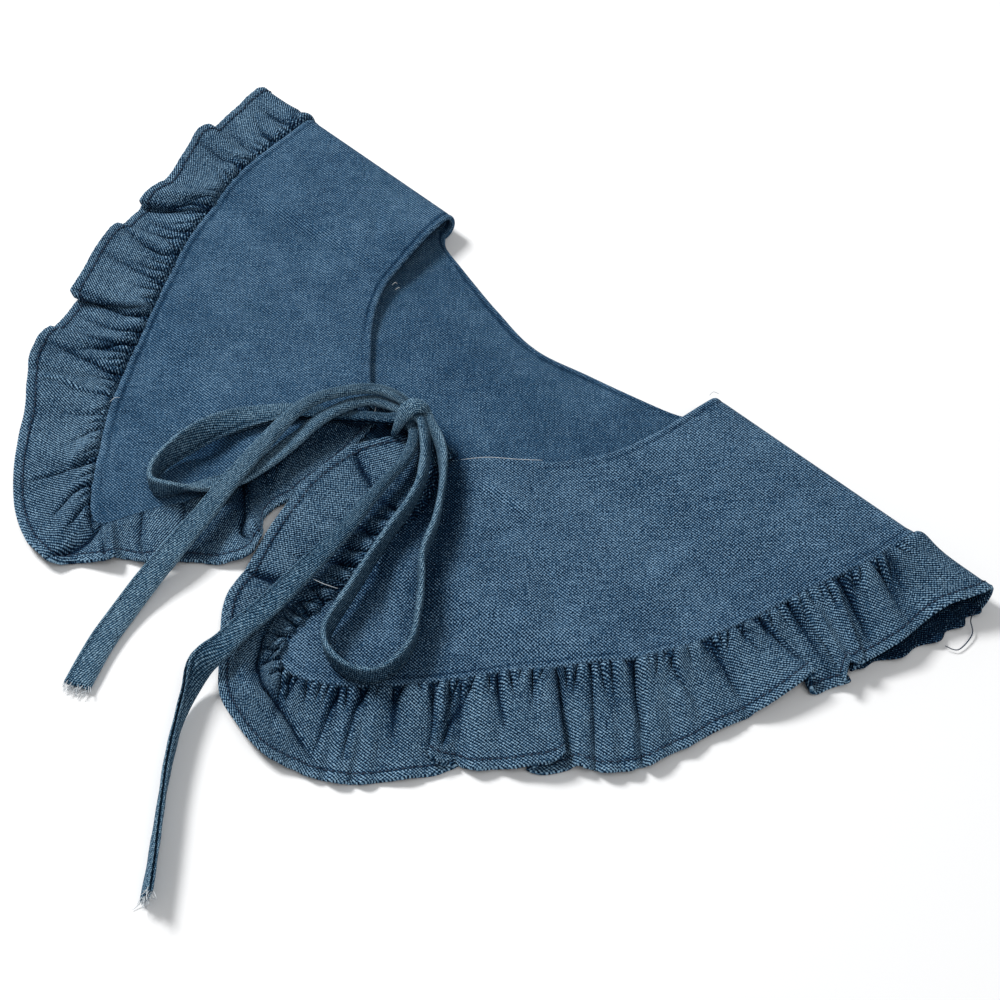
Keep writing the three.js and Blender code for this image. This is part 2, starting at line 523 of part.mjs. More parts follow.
function add(name, geometry, material) {
  const mesh = new THREE.Mesh(geometry, material);
  mesh.name = name;
  collar.add(mesh);
}

add('body_back', bodyBack(), denimBody);
add('ruffle_back', ruffleBack(), denimRuffle);
for (const side of SIDES) {
  add(`body_front_${side}`, bodyFront(side), denimBody);
  add(`ruffle_front_${side}`, ruffleFront(side), denimRuffle);
}
add('tie_knot', knot(), denimTie);
for (const [name, rows] of Object.entries(TIES)) {
  add(name, tie(rows, Math.round(0.8 * rows.length)), denimTie);
}

const part = new THREE.Group();
part.add(collar);
part.updateMatrixWorld(true);

export default part;
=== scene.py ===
"""A detachable denim collar with a gathered frill and two ties, laid flat and folded at the shoulders.

The shapes are worked out in millimetres in the collar's own plan: x runs along the shoulder folds
towards the wearer's left, y towards the back of the neck, and z is up from the table. `placed` turns
them into metres in the shared frame.
"""
import logging
import math
from dataclasses import dataclass
from enum import Enum
from functools import reduce

import bpy
import numpy as np
from mathutils import Matrix, Vector


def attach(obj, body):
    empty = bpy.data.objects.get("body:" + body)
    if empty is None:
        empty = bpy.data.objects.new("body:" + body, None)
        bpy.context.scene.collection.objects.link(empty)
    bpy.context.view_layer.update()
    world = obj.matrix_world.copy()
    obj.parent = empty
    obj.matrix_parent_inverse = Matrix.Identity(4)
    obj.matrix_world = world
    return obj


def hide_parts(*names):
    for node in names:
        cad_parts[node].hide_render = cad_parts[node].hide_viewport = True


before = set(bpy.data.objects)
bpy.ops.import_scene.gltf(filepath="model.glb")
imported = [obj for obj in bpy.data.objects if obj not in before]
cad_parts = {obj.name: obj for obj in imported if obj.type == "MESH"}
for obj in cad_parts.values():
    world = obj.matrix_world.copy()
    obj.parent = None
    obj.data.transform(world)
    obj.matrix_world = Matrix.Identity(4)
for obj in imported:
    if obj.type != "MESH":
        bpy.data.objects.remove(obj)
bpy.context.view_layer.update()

logging.basicConfig(level=logging.INFO, format="%(message)s")
log = logging.getLogger("collar")


class Side(Enum):
    """The two fronts, named as seen from above with the neck at the top, with the sign of their x.

    So LEFT is on the wearer's right.
    """

    LEFT = -1
    RIGHT = 1


# ---------------------------------------------------------------- driving sizes, in millimetres
CENTRE = np.array([3.05, -127.04, 0.0])     # the frame's origin in the collar's own plan
BODY_WALL = 2.0
FRILL_WALL = 1.1
TIE_WIDTH = 11.0
TIE_WALL = 3.2
FOLD_RADIUS = 5.5
FOLD_Y = -7.0
FOLD_TOP = BODY_WALL / 2 + 2 * FOLD_RADIUS
SETTLE = 78.0
OVER_BACK = 5.4
ON_TABLE = BODY_WALL / 2 + 0.1
BACK_MID_X = 3.0
BACK_SEAM = (184.0, 112.0)
BACK_HEM = (222.0, 152.0)
PANEL_WIDTH = 110.0                         # the body from neck to seam, for its steps across
FRILL_DEPTH = 40.0                          # a frill from seam to hem, for its steps across
FRILL_LIFT = 0.3                            # under the frill where it comes round the shoulder fold
NECK_STITCH = 3.2                           # the neck's stitching line, in from the edge
SEAM_STITCH = 3.6                           # the outer seam's stitching line, in from the edge
ALLOWANCE = (4.6, 3.7)                      # where the turned-in cloth thickens the body's edge
HEM_STITCH = 4.2                            # a frill's stitching line, in from the hem
HEM_FURROW = 4.3                            # the furrow that it draws
HEM_TURN = (5.4, 4.4)                       # where the turned-up cloth thickens a frill's hem
EDGE_ROUND = 0.62                           # the rounding of a cloth's edge, as a share of its wall
STITCH_RADIUS, YARN_RADIUS = 0.26, 0.14
NECK_STITCHES = (2.4, 0.7)                  # length of a stitch, and space between two
TUCK_SEED = {Side.LEFT: 29, Side.RIGHT: 17}
FRAY_SEED = {Side.LEFT: 5, Side.RIGHT: 8}
LOWEST = 0.02                               # cloth and threads lie at least this far over the table
LOWEST_TIE = 0.05
LOWEST_FRAY = 0.15

# ---------------------------------------------------------------- camera, lights and floor, in metres
CAMERA_AZIMUTH, CAMERA_ELEVATION, CAMERA_ROLL = math.radians(45.7), math.radians(49.3), math.radians(-0.2)
CAMERA_DISTANCE = 0.8057
CAMERA_AIM = Vector((0.04805, 0.02574, 0.0))
CAMERA_LENS, CAMERA_SENSOR = 70.2, 36.0     # millimetres
# each light's name, place, side and power in watts
LIGHTS = (("key", (-1.7, -0.15, 1.75), 0.7, 61.0), ("fill", (1.0, -0.2, 1.7), 1.2, 9.0))
FLOOR_REACH, FLOOR_DROP = 6.0, 0.0004
FLOOR_COLOUR = (0.93, 0.93, 0.93, 1.0)
SURROUND_COLOUR, SURROUND_STRENGTH = (0.96, 0.98, 1.0, 1.0), 0.3


class Fades(Enum):
    """Where a crease fades out."""

    BOTH_ENDS = "both"
    FAR_END = "far"


# one turn of a frill: how far along its seam, where it meets the hem in x and y, and its rise there
Fold = tuple[float, float, float, float]
# one point of a tie's route in x, y and z, its roll off flat in degrees, and its share of full width
TieRow = tuple[float, float, float, float, float]


@dataclass(frozen=True)
class Crease:
    """A ridge, or a trough with a negative rise, in the cloth along a few plan points.

    A keen one has a sharp bottom, as where cloth is drawn up; the others are soft bells.
    """

    points: tuple[tuple[float, float], ...]
    rise: float
    width: float
    keen: bool = False
    fades: Fades = Fades.BOTH_ENDS


def drawn(rise: float, width: float, *points: tuple[float, float]) -> Crease:
    """A keen crease that starts at a seam and fades at its far end."""
    return Crease(points, rise, width, True, Fades.FAR_END)


# ---------------------------------------------------------------- outlines of the fronts
NECK_FRONT = {
    Side.RIGHT: ((81, -7), (79, -22), (76, -38), (69, -56), (55, -75), (38, -89), (23, -106)),
    Side.LEFT: ((-81, -7), (-79, -20), (-75, -38), (-71, -54), (-60, -71), (-43, -88), (-26, -103)),
}
SEAM_FRONT = {
    Side.RIGHT: (
        (187, -7), (185, -19.5), (182.5, -30), (178, -43), (172.5, -60), (168, -76), (162, -95.5),
        (157, -108), (151, -119.5), (145.5, -128), (138.5, -135.5), (128, -148), (117, -160), (110, -171),
        (100, -185), (94.5, -192), (86, -202), (79, -209), (69, -216.5), (58, -221), (49, -219), (44, -208),
    ),
    Side.LEFT: (
        (-181, -7), (-179.5, -20), (-179, -35), (-177.5, -50.5), (-174, -63), (-169, -75), (-164.5, -87),
        (-158, -100), (-150, -113), (-142, -126), (-134.5, -138.5), (-127.5, -150), (-119.5, -163),
        (-111, -174.5), (-103, -185.5), (-92, -197.5), (-81, -209), (-72, -218), (-66.5, -223),
        (-61, -226.5), (-55, -228.5), (-50.5, -226),
    ),
}
FRONT_EDGE = {
    Side.RIGHT: ((44, -208), (42, -180), (39, -150), (35, -126), (23, -106)),
    Side.LEFT: (
        (-50.5, -226), (-46, -212.5), (-39.5, -198), (-34, -183), (-32, -165), (-32, -130), (-26, -103),
    ),
}
NECK_BACK = (
    (81, -7), (74, -14), (58, -19), (28, -25), (0, -30), (-28, -25), (-56, -18), (-74, -13), (-81, -7),
)

# ---------------------------------------------------------------- the turns of the two front frills
FOLDS: dict[Side, tuple[Fold, ...]] = {
    Side.RIGHT: (
        (0, 225, -7, 12.5), (4, 223, -11, 12), (8, 221, -15, 11.5), (12, 218, -21, 10.6), (14, 215.5, -34, 8),
        (19, 215.5, -45, 9), (23, 214, -52, 8), (28, 212.5, -57.5, 7), (32, 211, -62, 6), (36, 209, -68, 3),
        (37, 210, -63.5, 8.8), (41, 210.5, -67, 8.4), (45, 207.5, -68, 7.6), (49, 209, -71, 7.4),
        (52.5, 211.5, -75, 7), (55.5, 212, -73, 4), (59.5, 209, -76, 1.6), (64, 207, -80, 0.9),
        (66, 206, -83.5, 0.8), (68, 204.5, -85.5, 2.2), (70, 202, -84, 5), (71, 201, -81, 8.4),
        (73, 201, -83.5, 8.8), (76.5, 200.5, -89, 8.2), (79, 199, -98, 7), (83.5, 197.5, -104, 5.5),
        (87, 195.5, -109, 3.4), (91, 194.5, -112, 1.6), (95.5, 193.5, -116, 2.5), (100, 191.5, -123, 3.2),
        (103.5, 189.5, -129.5, 2.2), (107, 188.5, -137.5, 3.4), (112, 186, -143, 2.4),
        (117, 185, -150.5, 4.2), (120.5, 184, -154.5, 4), (124, 181.5, -155.5, 0.8), (126.5, 181, -160, 3.6),
        (129, 178, -163.5, 3), (133, 176, -167, 4), (136.5, 172.5, -169, 2.6), (139, 170, -169, 0.7),
        (142, 169, -171.5, 3.6), (145.5, 166, -173, 4.2), (148, 164, -174.5, 2.6), (151, 162.5, -177, 0.9),
        (152, 159.5, -182, 0.8), (153, 156, -185.5, 0.8), (153.3, 152.5, -187, 1.6),
        (153.6, 155, -183.5, 2.8), (154, 158, -178.5, 4), (154.6, 159, -174, 6.2), (155.5, 160, -177, 7),
        (158, 157.5, -182.5, 6.6), (165, 153.5, -187, 5.4), (169.5, 149.5, -191.5, 4), (175, 145, -194.5, 2),
        (178, 142.5, -198.5, 2.8), (183, 140, -201.5, 3.4), (187, 136, -203, 1.8), (191, 132.5, -204, 1.2),
        (193.5, 130.5, -207, 3.4), (197, 128, -209.5, 5), (200, 125, -210.5, 6), (200.4, 127.5, -210, 4.2),
        (200.7, 131, -207.5, 3), (201, 133.5, -204.5, 1.8), (201.4, 132, -208, 0.9),
        (202.3, 130.5, -212, 0.8), (204.5, 128, -216, 1.2), (210, 125, -221, 2.4), (214, 121, -226, 1.6),
        (218.5, 117.5, -230, 0.8), (222.5, 115.5, -234, 2.2), (225.5, 111.5, -237, 0.7),
        (228.5, 110, -239.5, 2.4), (232, 107, -242, 2.8), (235.5, 103, -243.5, 1), (240, 100.5, -245.5, 2.2),
        (244.5, 96.5, -247, 1.4), (248.5, 93.5, -248, 2), (252.5, 90.5, -249.5, 2.6), (257, 87, -251, 4),
        (262, 83, -252.5, 5), (266, 77, -253, 5.4), (269, 70, -252.5, 5), (272, 62.5, -251, 4.4),
        (275, 55, -249.5, 4), (277, 49, -247.5, 3.6), (279, 44, -244.5, 3.2), (281, 38.5, -240, 2.6),
        (283, 32.5, -235, 2.2), (285.5, 27, -230, 2.2), (288, 22, -225.5, 2.6), (292, 16.5, -220, 3),
        (296, 12, -213.5, 3.2), (300, 9.5, -207, 3), (305, 7, -199.5, 3.2), (314, 1, -187, 3.6),
        (322, -3, -176.5, 4.4), (331, -6.5, -165.5, 4.8), (341, -10, -154, 5), (350, -11, -144, 5.2),
        (361, -11, -131.5, 5.4), (371, -7.5, -121.5, 5.6), (379, -3, -113.5, 5.8), (386, 2.5, -108, 6),
    ),
    Side.LEFT: (
        (0, -217, -7, 12.4), (8, -217.5, -13, 10.6), (15, -216, -19, 9.8), (24, -215, -27, 8.8),
        (33, -214, -35, 7.4), (36, -213, -38, 8.4), (38, -213.5, -41, 11.6), (41, -214, -45, 11.8),
        (46, -213, -49, 11.2), (51, -210, -54.5, 10.4), (55, -207.5, -59.5, 9.8), (59, -205, -65, 9.2),
        (62, -202.5, -70, 8.4), (64, -200.5, -75, 7.6), (65, -199, -79, 7.6), (66.5, -197.5, -83, 9.4),
        (68, -197, -87, 10), (70, -196.5, -91, 10), (72, -195.5, -95, 9.6), (73, -194.5, -97.5, 8.8),
        (73.6, -194, -97, 6.2), (75, -195, -97, 4.4), (80, -193, -100, 4.6), (87, -192, -104.5, 4.8),
        (94, -190.5, -109.5, 5), (98, -190, -112, 5.4), (101, -189, -115.5, 9), (104, -188.5, -118.5, 9.4),
        (109, -187, -122.5, 9.2), (115, -185, -127.5, 8.8), (123, -181, -135.5, 8.2), (130, -177, -142, 7.8),
        (136, -173.5, -148.5, 7.4), (140, -170.5, -154, 7.4), (141.5, -169, -156.5, 7.2),
        (142.3, -166.5, -157, 6.4), (142.8, -165.5, -155, 4.4), (143.5, -167, -154.5, 2.4),
        (146, -165.5, -158.5, 1.6), (149, -163.5, -163, 1.4), (153, -161.5, -167.5, 1.8),
        (157, -159.5, -172, 2.6), (160, -158, -175, 3.6), (163, -156, -178, 7.8), (166, -155.5, -181, 8.2),
        (170, -154.5, -184.5, 8), (174, -152.5, -188, 7.2), (179, -151, -191, 6.4), (185, -147.5, -195, 5.6),
        (188, -143.5, -198.5, 3.4), (193, -137, -204, 3.8), (199, -130.5, -209, 3.4),
        (205, -124.5, -214.5, 2.6), (211, -119, -220.5, 2), (217, -112.5, -226.5, 2.2),
        (222, -105.5, -232.5, 3), (227, -98.5, -238, 3.4), (231, -92.5, -242.5, 2.6),
        (235, -86.5, -246.5, 1.6), (241, -78.5, -250.5, 2), (247, -70.5, -253.5, 3), (253, -62, -255.5, 4),
        (258, -54.5, -255.5, 4.6), (262, -49.5, -254.5, 4.2), (265, -47, -252, 2.4), (268, -44, -247, 1.2),
        (271, -39.5, -243, 2.4), (274, -34.5, -239, 5), (276.5, -32.5, -236.5, 6), (278, -33, -233.5, 3),
        (281, -31.5, -231.5, 1.4), (286, -25.5, -228, 2.4), (294, -18.5, -221, 3.4), (300, -14.5, -217, 2.4),
        (308, -9, -211, 1.4), (312, -5.5, -208.5, 1.2), (316, -2.5, -206, 1.6), (320, 0.5, -202, 3),
        (324, 3, -198.5, 4), (328, 4, -194.5, 4.8), (332, 2, -189.5, 5), (336, 0, -186, 4),
        (340, -4, -182.5, 3.2), (344, -8, -177.5, 2.8), (350, -9, -171, 2.6), (357, -8, -164, 2.4),
        (372, -8, -150, 2.2), (390, -10, -130, 2.4), (404, -14, -112, 3),
    ),
}

# ---------------------------------------------------------------- the routes of the two ties
TIE_ROUTES: dict[Side, tuple[TieRow, ...]] = {
    Side.LEFT: (
        (-25, -104, 8, 0, 1), (-18, -104, 7.8, 0, 1), (-8, -104, 7.8, 0, 0.8), (-1, -104, 8.4, 0, 0.6),
        (2, -104, 11, 0, 0.5), (-3, -104, 13.6, -6, 0.45), (-12, -106, 13.5, -16, 0.44),
        (-19, -110, 13.5, -14, 0.48), (-24, -119, 13, -14, 0.56), (-26, -132, 12.6, -22, 0.68),
        (-26, -149, 10.3, -20, 0.82), (-26, -163, 9.4, -22, 0.94), (-29, -175, 7.6, -18, 1),
        (-36, -187, 6.8, -30, 1), (-43, -198, 7.9, -76, 1), (-50, -202, 8.3, -88, 1),
        (-56, -196, 8.4, -88, 1), (-58, -184, 8.8, -72, 1), (-56, -168, 10.6, -40, 1),
        (-52, -154, 9.8, -14, 1), (-46, -142, 8.9, 0, 0.9), (-38, -132, 8.9, 0, 0.72),
        (-24, -121.5, 9, 0, 0.58), (-13, -114.5, 10.9, 0, 0.5), (-5.5, -109.2, 12, 0, 0.54),
        (-1, -103, 14.4, 0, 0.5), (-6, -102, 17.2, 0, 0.44), (-11, -103, 17.9, 0, 0.44),
        (-17, -105, 17.9, 0, 0.44), (-23, -110, 17.8, 0, 0.44), (-28, -117, 17.5, 0, 0.46),
        (-32, -125, 17.2, 0, 0.5), (-34, -134, 16.6, 0, 0.55), (-33, -145, 16, 0, 0.6),
        (-29, -165, 14.4, 0, 0.68), (-25, -183, 12.6, 0, 0.78), (-21, -198, 10.8, 0, 0.86),
        (-17, -216, 8.8, 0, 0.94), (-14, -233, 5, 0, 1), (-10, -248, 2.4, 0, 1), (-4, -264, 1.9, 0, 1),
        (6, -283, 1.9, 0, 1),
    ),
    Side.RIGHT: (
        (26, -107.4, 8.8, 0, 1), (19, -106.2, 8.5, 0, 0.95), (11, -104.3, 8.4, 0, 0.8),
        (3, -102.8, 8.5, 0, 0.6), (0, -101, 13, 0, 0.5), (5, -100, 16.6, -12, 0.44),
        (10, -102, 16.1, -34, 0.44), (18, -105, 15.3, -56, 0.5), (25, -109, 14.8, -74, 0.66),
        (33, -116, 13.6, -84, 0.84), (41, -125, 13.2, -84, 1), (50, -137, 12.8, -84, 1),
        (58, -151, 12.9, -84, 1), (67, -160, 11.1, -84, 1), (75, -169, 9.4, -84, 1), (84, -181, 8.5, -84, 1),
        (87, -193, 8.4, -84, 1), (85, -202, 8.4, -84, 1), (77, -207, 8.4, -84, 1), (66, -207, 8.5, -84, 1),
        (58, -202, 8.6, -84, 0.94), (54, -194, 9.2, -84, 0.88), (50, -182, 10.2, -84, 0.82),
        (44, -165, 11.4, -84, 0.78), (39, -150, 12, -84, 0.76), (35, -137, 12.6, -84, 0.72),
        (30, -126, 13.6, -82, 0.66), (23, -117, 14.5, -76, 0.6), (17, -111, 15.6, -62, 0.5),
        (12, -107, 16.4, -40, 0.44), (7, -104, 16.8, -24, 0.42), (1, -104, 15, -10, 0.5),
        (2.4, -105.4, 12.4, 2, 0.6), (7, -108, 12.6, 4, 0.48), (12, -114, 12.6, 6, 0.46),
        (16, -122, 12.6, 8, 0.44), (18, -131, 12.8, 6, 0.42), (21, -145, 12.2, 4, 0.5),
        (25, -161, 11.4, 0, 0.66), (28, -179, 10.6, 0, 0.8), (30, -194, 9.8, 0, 0.9),
        (32, -209, 9.2, 0, 0.96), (33, -223, 9.2, 0, 0.96), (35, -234, 10.1, 6, 0.96), (36, -245, 9.9, 40, 1),
        (41, -255.5, 7, 78, 1), (48.4, -266.8, 6, 94, 1), (61, -281.8, 5.8, 98, 1),
        (76.5, -297.8, 5.8, 104, 1), (89, -310.5, 5.8, 110, 1), (98.5, -320.5, 5.8, 114, 1),
    ),
}

# the cut of each front ruffle, m: its length is the hem's own, followed along every wave,
# and its depth is from the seam to the turned hem
FRILL_CUT = {Side.LEFT: (0.54, 0.042), Side.RIGHT: (0.61, 0.042)}
BACK_FRILL_CUT = (0.64, 0.040)

# how far each tie is darkened along its table, where the others shade it
SHADED = {
    Side.LEFT: ((0, 0), (12, 0.1), (20, 0.15), (24, 0), (41, 0)),
    Side.RIGHT: (
        (0, 0), (7, 0.1), (12, 0.3), (20, 0.4), (28, 0.3), (33, 0.25), (37, 0.28), (44, 0.28), (46.5, 0),
        (52, -0.15),
    ),
}

# how strongly each frill is gathered, by the distance along its seam and front edge
GATHERING = {
    Side.RIGHT: ((0, 1), (400, 1)),
    Side.LEFT: (
        (0, 1), (180, 1), (200, 0.5), (228, 0.55), (244, 0.9), (256, 0.7), (264, 0.12), (312, 0.12),
        (334, 0.6), (400, 0.6),
    ),
}

# the stretches of the ties' tables that lie under other strands at the knot, which get painted shade
COVERED = {Side.LEFT: (20.8, 24.9), Side.RIGHT: (1.6, 4.0)}

# ---------------------------------------------------------------- creases
BODY_CREASES = (
    Crease(((-162, -61), (-132, -58.5), (-107, -55), (-83, -51.5)), -0.9, 3.2),
    Crease(((-160, -54), (-132, -52), (-108, -48)), 0.6, 4),
    Crease(((-112, -21), (-93.5, -40)), -0.7, 2.2),
    Crease(((-111.5, -150.5), (-106, -127), (-90.5, -111)), 0.7, 6),
    Crease(((-114.5, -108.5), (-81, -102), (-59, -97.5)), -0.6, 4.5),
    Crease(((-150, -90), (-128, -84), (-96, -80)), 0.5, 6),
    Crease(((-82, -195), (-73.5, -170), (-67.5, -147)), 0.6, 6),
    Crease(((-168, -30), (-140, -26), (-116, -30)), -0.5, 6),
    Crease(((40, -105), (55, -102), (72.5, -102.5)), 1.1, 3.5),
    Crease(((64.5, -128.5), (68, -118), (70, -109)), -0.8, 3.5),
    Crease(((87, -117), (107, -125.5), (120.5, -139.5)), -0.9, 4.5),
    Crease(((84, -128), (100, -136), (112, -150)), 0.7, 5),
    Crease(((126.5, -63), (129.5, -92.5), (137, -109.5)), 0.7, 5.5),
    Crease(((79.5, -60), (89, -27), (96, -14)), 0.5, 6),
    Crease(((151.5, -30.5), (150.5, -54), (147, -86)), -0.6, 5),
    Crease(((108, -34), (118, -60), (112, -92)), -0.5, 6),
    Crease(((66, -196), (82, -180), (104, -162)), 0.5, 5),
    Crease(((44.6, -170), (58, -180), (72.2, -191)), 0.7, 3.5),
    Crease(((48.2, -155.5), (62, -169), (76.6, -183.1)), 0.6, 3.5),
)
BACK_CREASES = (
    Crease(((-0.5, -31.5), (-3.5, -44.5), (-5.5, -61)), 0.5, 1.2),
    Crease(((-13.5, -61), (-10, -72), (-6.5, -81)), -0.4, 1.6),
    Crease(((-60, -30), (-72, -52), (-90, -66)), 0.4, 4),
    Crease(((50, -34), (62, -56), (60, -84)), -0.4, 4),
    Crease(((104, -40), (120, -62), (128, -84)), 0.4, 4),
    Crease(((-120, -30), (-132, -52), (-126, -76)), -0.4, 4),
)
FRILL_CREASES = {
    Side.RIGHT: (
        Crease(((185, -14.5), (201, -11), (210.5, -10.5), (219.5, -10)), 0.8, 2.6),
        drawn(-1.4, 1.8, (184, -17.5), (196.5, -24), (204.5, -30.5)),
        drawn(-1.2, 1.6, (180, -34.5), (188, -39.5), (194.5, -40)),
        drawn(-3.4, 2.4, (179.5, -41), (189.5, -45), (198, -49.5), (208, -56)),
        Crease(((177.5, -46), (186.5, -50.5), (197.5, -56.5), (208, -63.5)), 1.5, 2.4),
        Crease(((174, -56.5), (184.5, -60), (197, -66), (207, -70)), 1.4, 2.2),
        drawn(-2.6, 1.9, (170, -63), (184, -66.5), (206, -75.5)),
        drawn(-2.8, 1.8, (168, -76), (180, -79), (191, -80.5), (198, -79)),
        drawn(-1.8, 1.3, (165, -86), (182, -88)),
        drawn(-2.4, 1.8, (159.5, -98), (173, -102), (183.5, -106), (188, -108)),
        drawn(-1.8, 1.6, (154, -113), (164, -118), (178, -122)),
        drawn(-2.2, 1.7, (146, -124.5), (162, -138), (173.5, -146.5)),
        drawn(-1.8, 1.4, (135.5, -135.5), (148, -147.5), (164.5, -164)),
        drawn(-3, 1.7, (130, -148.5), (146.5, -162), (158, -170.5)),
        drawn(-2.8, 1.2, (114, -165), (124, -173), (136, -181.5)),
        drawn(-2.6, 1.4, (107.5, -177), (113.5, -184), (120, -190.5), (127, -197)),
        drawn(-4.4, 1.1, (100.5, -185), (107.5, -192), (115, -199.4), (122, -208.5)),
        Crease(((104, -183), (111, -189.5), (118, -196.5)), 1.3, 1.6),
        Crease(((114.5, -185), (118, -194), (124, -203.5)), -3, 1.2, True),
        drawn(-1.8, 1.8, (93, -196), (104, -210), (112, -219)),
        drawn(-3.2, 1.2, (84, -204), (88, -213.9), (97, -227), (103, -234)),
        drawn(-3.8, 1.1, (76.5, -211.5), (81.3, -220.6), (88.4, -232.7), (93, -241)),
        drawn(-2, 2.2, (62.5, -219), (65, -226), (66.5, -234)),
        Crease(
            ((33, -216), (38, -226), (46, -234.5), (57, -238.5), (68, -239), (80, -242), (92, -244.5)),
            1.8, 2.6,
        ),
        Crease(
            (
                (33.5, -208), (38.5, -218.5), (46, -227.5), (56, -232.5), (66, -234), (77, -236.5),
                (88, -239.6), (96, -241),
            ),
            -3.8, 1.2, True,
        ),
        drawn(-4, 0.9, (46, -211), (37.5, -214)), drawn(-4, 0.9, (47.5, -217.5), (40, -221)),
        drawn(-4, 1, (51.5, -219.5), (47, -226)), drawn(-4, 0.9, (56, -220.5), (54, -228)),
        drawn(-4, 0.9, (60, -220), (61.5, -228.5)), drawn(-3.4, 0.9, (44.5, -205), (35, -206)),
        drawn(-3.4, 1, (43.5, -198), (33.5, -196.5)), drawn(-3, 1, (42.5, -190), (32, -188)),
        Crease(((-8.2, -128.2), (2.2, -133.6), (12.1, -136.9), (17, -138)), -3.2, 1.8, True),
        Crease(((8.8, -201.9), (14.8, -198.1), (25.7, -192.8)), -3, 1.8, True),
        drawn(-2, 1.7, (38, -152), (24, -156), (10, -160)),
        drawn(-1.8, 1.8, (39.5, -168), (26, -176), (14, -184)),
        drawn(-2, 1.8, (41, -180), (30, -190), (12, -201)),
    ),
    Side.LEFT: (
        drawn(-1.8, 1.8, (-179.5, -13.5), (-191, -6.5)),
        drawn(-1.6, 1.7, (-180.5, -27.5), (-192, -24.5), (-204, -20)),
        drawn(-1.9, 2.1, (-177, -48), (-188, -51), (-210, -51.5)),
        Crease(((-169, -70), (-181, -78.5), (-192.5, -89)), 1.6, 2.6),
        drawn(-3.4, 2, (-168.5, -77), (-176.5, -80), (-184, -91), (-193, -98.5)),
        drawn(-1.8, 1.6, (-161, -94.5), (-172, -98), (-186, -101.5)),
        drawn(-2.4, 1.8, (-154, -106.5), (-158, -112), (-169, -114), (-187, -114.5)),
        drawn(-1.9, 1.8, (-142, -123.5), (-163, -127.5), (-179, -131)),
        drawn(-2.6, 1.8, (-133.5, -139), (-143.5, -145.5), (-159.5, -150.5), (-169, -155)),
        drawn(-1.8, 1.6, (-128, -148.5), (-142, -156), (-158, -161)),
        drawn(-1.9, 1.8, (-121.5, -155), (-140, -166), (-158, -174)),
        drawn(-2.4, 1.8, (-110.5, -171.5), (-129, -175), (-147, -181.5), (-152, -187)),
        Crease(((-105, -180.5), (-119.5, -188.5), (-130.5, -191), (-142.5, -199)), 1.3, 1.3),
        Crease(((-91, -201), (-88.5, -212), (-84, -222)), 1.2, 2.4),
        drawn(-2.4, 1.1, (-82, -207), (-86.5, -221), (-92, -236)),
        drawn(-3.8, 1.2, (-70, -217), (-74, -222), (-74, -226), (-71.5, -233), (-69, -240)),
        drawn(-3.2, 1, (-66, -222.5), (-58, -229), (-50, -233)),
        Crease(((-71, -228), (-62, -236), (-56, -246)), 1.4, 3),
        Crease(((-52, -226), (-49, -236), (-49, -244), (-51.5, -254)), -4, 1.2, True),
        Crease(((-43, -233), (-39, -236), (-35, -238)), -1.4, 1.2),
        Crease(((-14.8, -182.5), (-12, -187), (-8, -190.3), (-1.5, -190.5)), -3.4, 1.1, True),
        Crease(((-8, -184), (-4, -187), (0, -187.5)), 1.8, 1.5),
        drawn(-1.8, 1.6, (-45, -212), (-34, -222), (-24, -227)),
        drawn(-1.6, 1.6, (-38.5, -196), (-28, -204), (-16, -212)),
        drawn(-3, 2, (-34, -168), (-22, -177.5), (-6, -190)),
    ),
}


# ---------------------------------------------------------------- small helpers on whole arrays
def ease(start: float, end: float, value: np.ndarray) -> np.ndarray:
    """A smooth step, 0 at start and 1 at end: 3p² − 2p³ of the share p of the way.

    Args:
        start: where the step begins.
        end: where it is complete.
        value: where it is asked for.

    Returns:
        The step at each value.
    """
    part = np.clip((value - start) / (end - start), 0, 1)
    return part * part * (3 - 2 * part)


def mix(a: np.ndarray, b: np.ndarray, part: np.ndarray) -> np.ndarray:
    """a where part is 0, b where it is 1, and in proportion between."""
    return a + (b - a) * part


def cubic(rows: np.ndarray, slope: np.ndarray, at: np.ndarray) -> np.ndarray:
    """Cubics between rows a and b with slopes c and d: (2p³−3p²+1)a + (p³−2p²+p)c + (3p²−2p³)b + (p³−p²)d.

    Args:
        rows: the table, one row for each whole number.
        slope: the curve's slope at each row.
        at: the row numbers wanted, which may lie between rows.

    Returns:
        One row for each number in at.
    """
    start = np.clip(np.floor(at).astype(int), 0, len(rows) - 2)
    part = (np.asarray(at) - start)[:, None]
    square, cube = part**2, part**3
    return (
        (2 * cube - 3 * square + 1) * rows[start] + (cube - 2 * square + part) * slope[start]
        + (3 * square - 2 * cube) * rows[start + 1] + (cube - square) * slope[start + 1]
    )


def through(rows: np.ndarray, at: np.ndarray) -> np.ndarray:
    """A smooth curve through the rows of a table that never swings past them.

    Each column is a cubic between two rows, and its slope at a row is the harmonic mean of the steps on
    both sides, or nothing where they have opposite signs.

    Args:
        rows: the table, one row for each whole number.
        at: the row numbers wanted, which may lie between rows.

    Returns:
        One row for each number in at.
    """
    rows = np.asarray(rows, float)
    step = np.diff(rows, axis=0)
    before, after = step[:-1], step[1:]
    same = before * after > 0
    total = np.where(same, before + after, 1)
    inner = np.where(same, 2 * before * after / total, 0)
    slope = np.vstack([step[:1], inner, step[-1:]])
    return cubic(rows, slope, at)


def rounded(rows: np.ndarray, at: np.ndarray) -> np.ndarray:
    """A rounder curve through the rows (Catmull-Rom): the slope at a row is half the step over both sides.

    Args:
        rows: the table, one row for each whole number.
        at: the row numbers wanted, which may lie between rows.

    Returns:
        One row for each number in at.
    """
    rows = np.asarray(rows, float)
    padded = np.vstack([rows[:1], rows, rows[-1:]])
    slope = (padded[2:] - padded[:-2]) / 2
    return cubic(rows, slope, at)


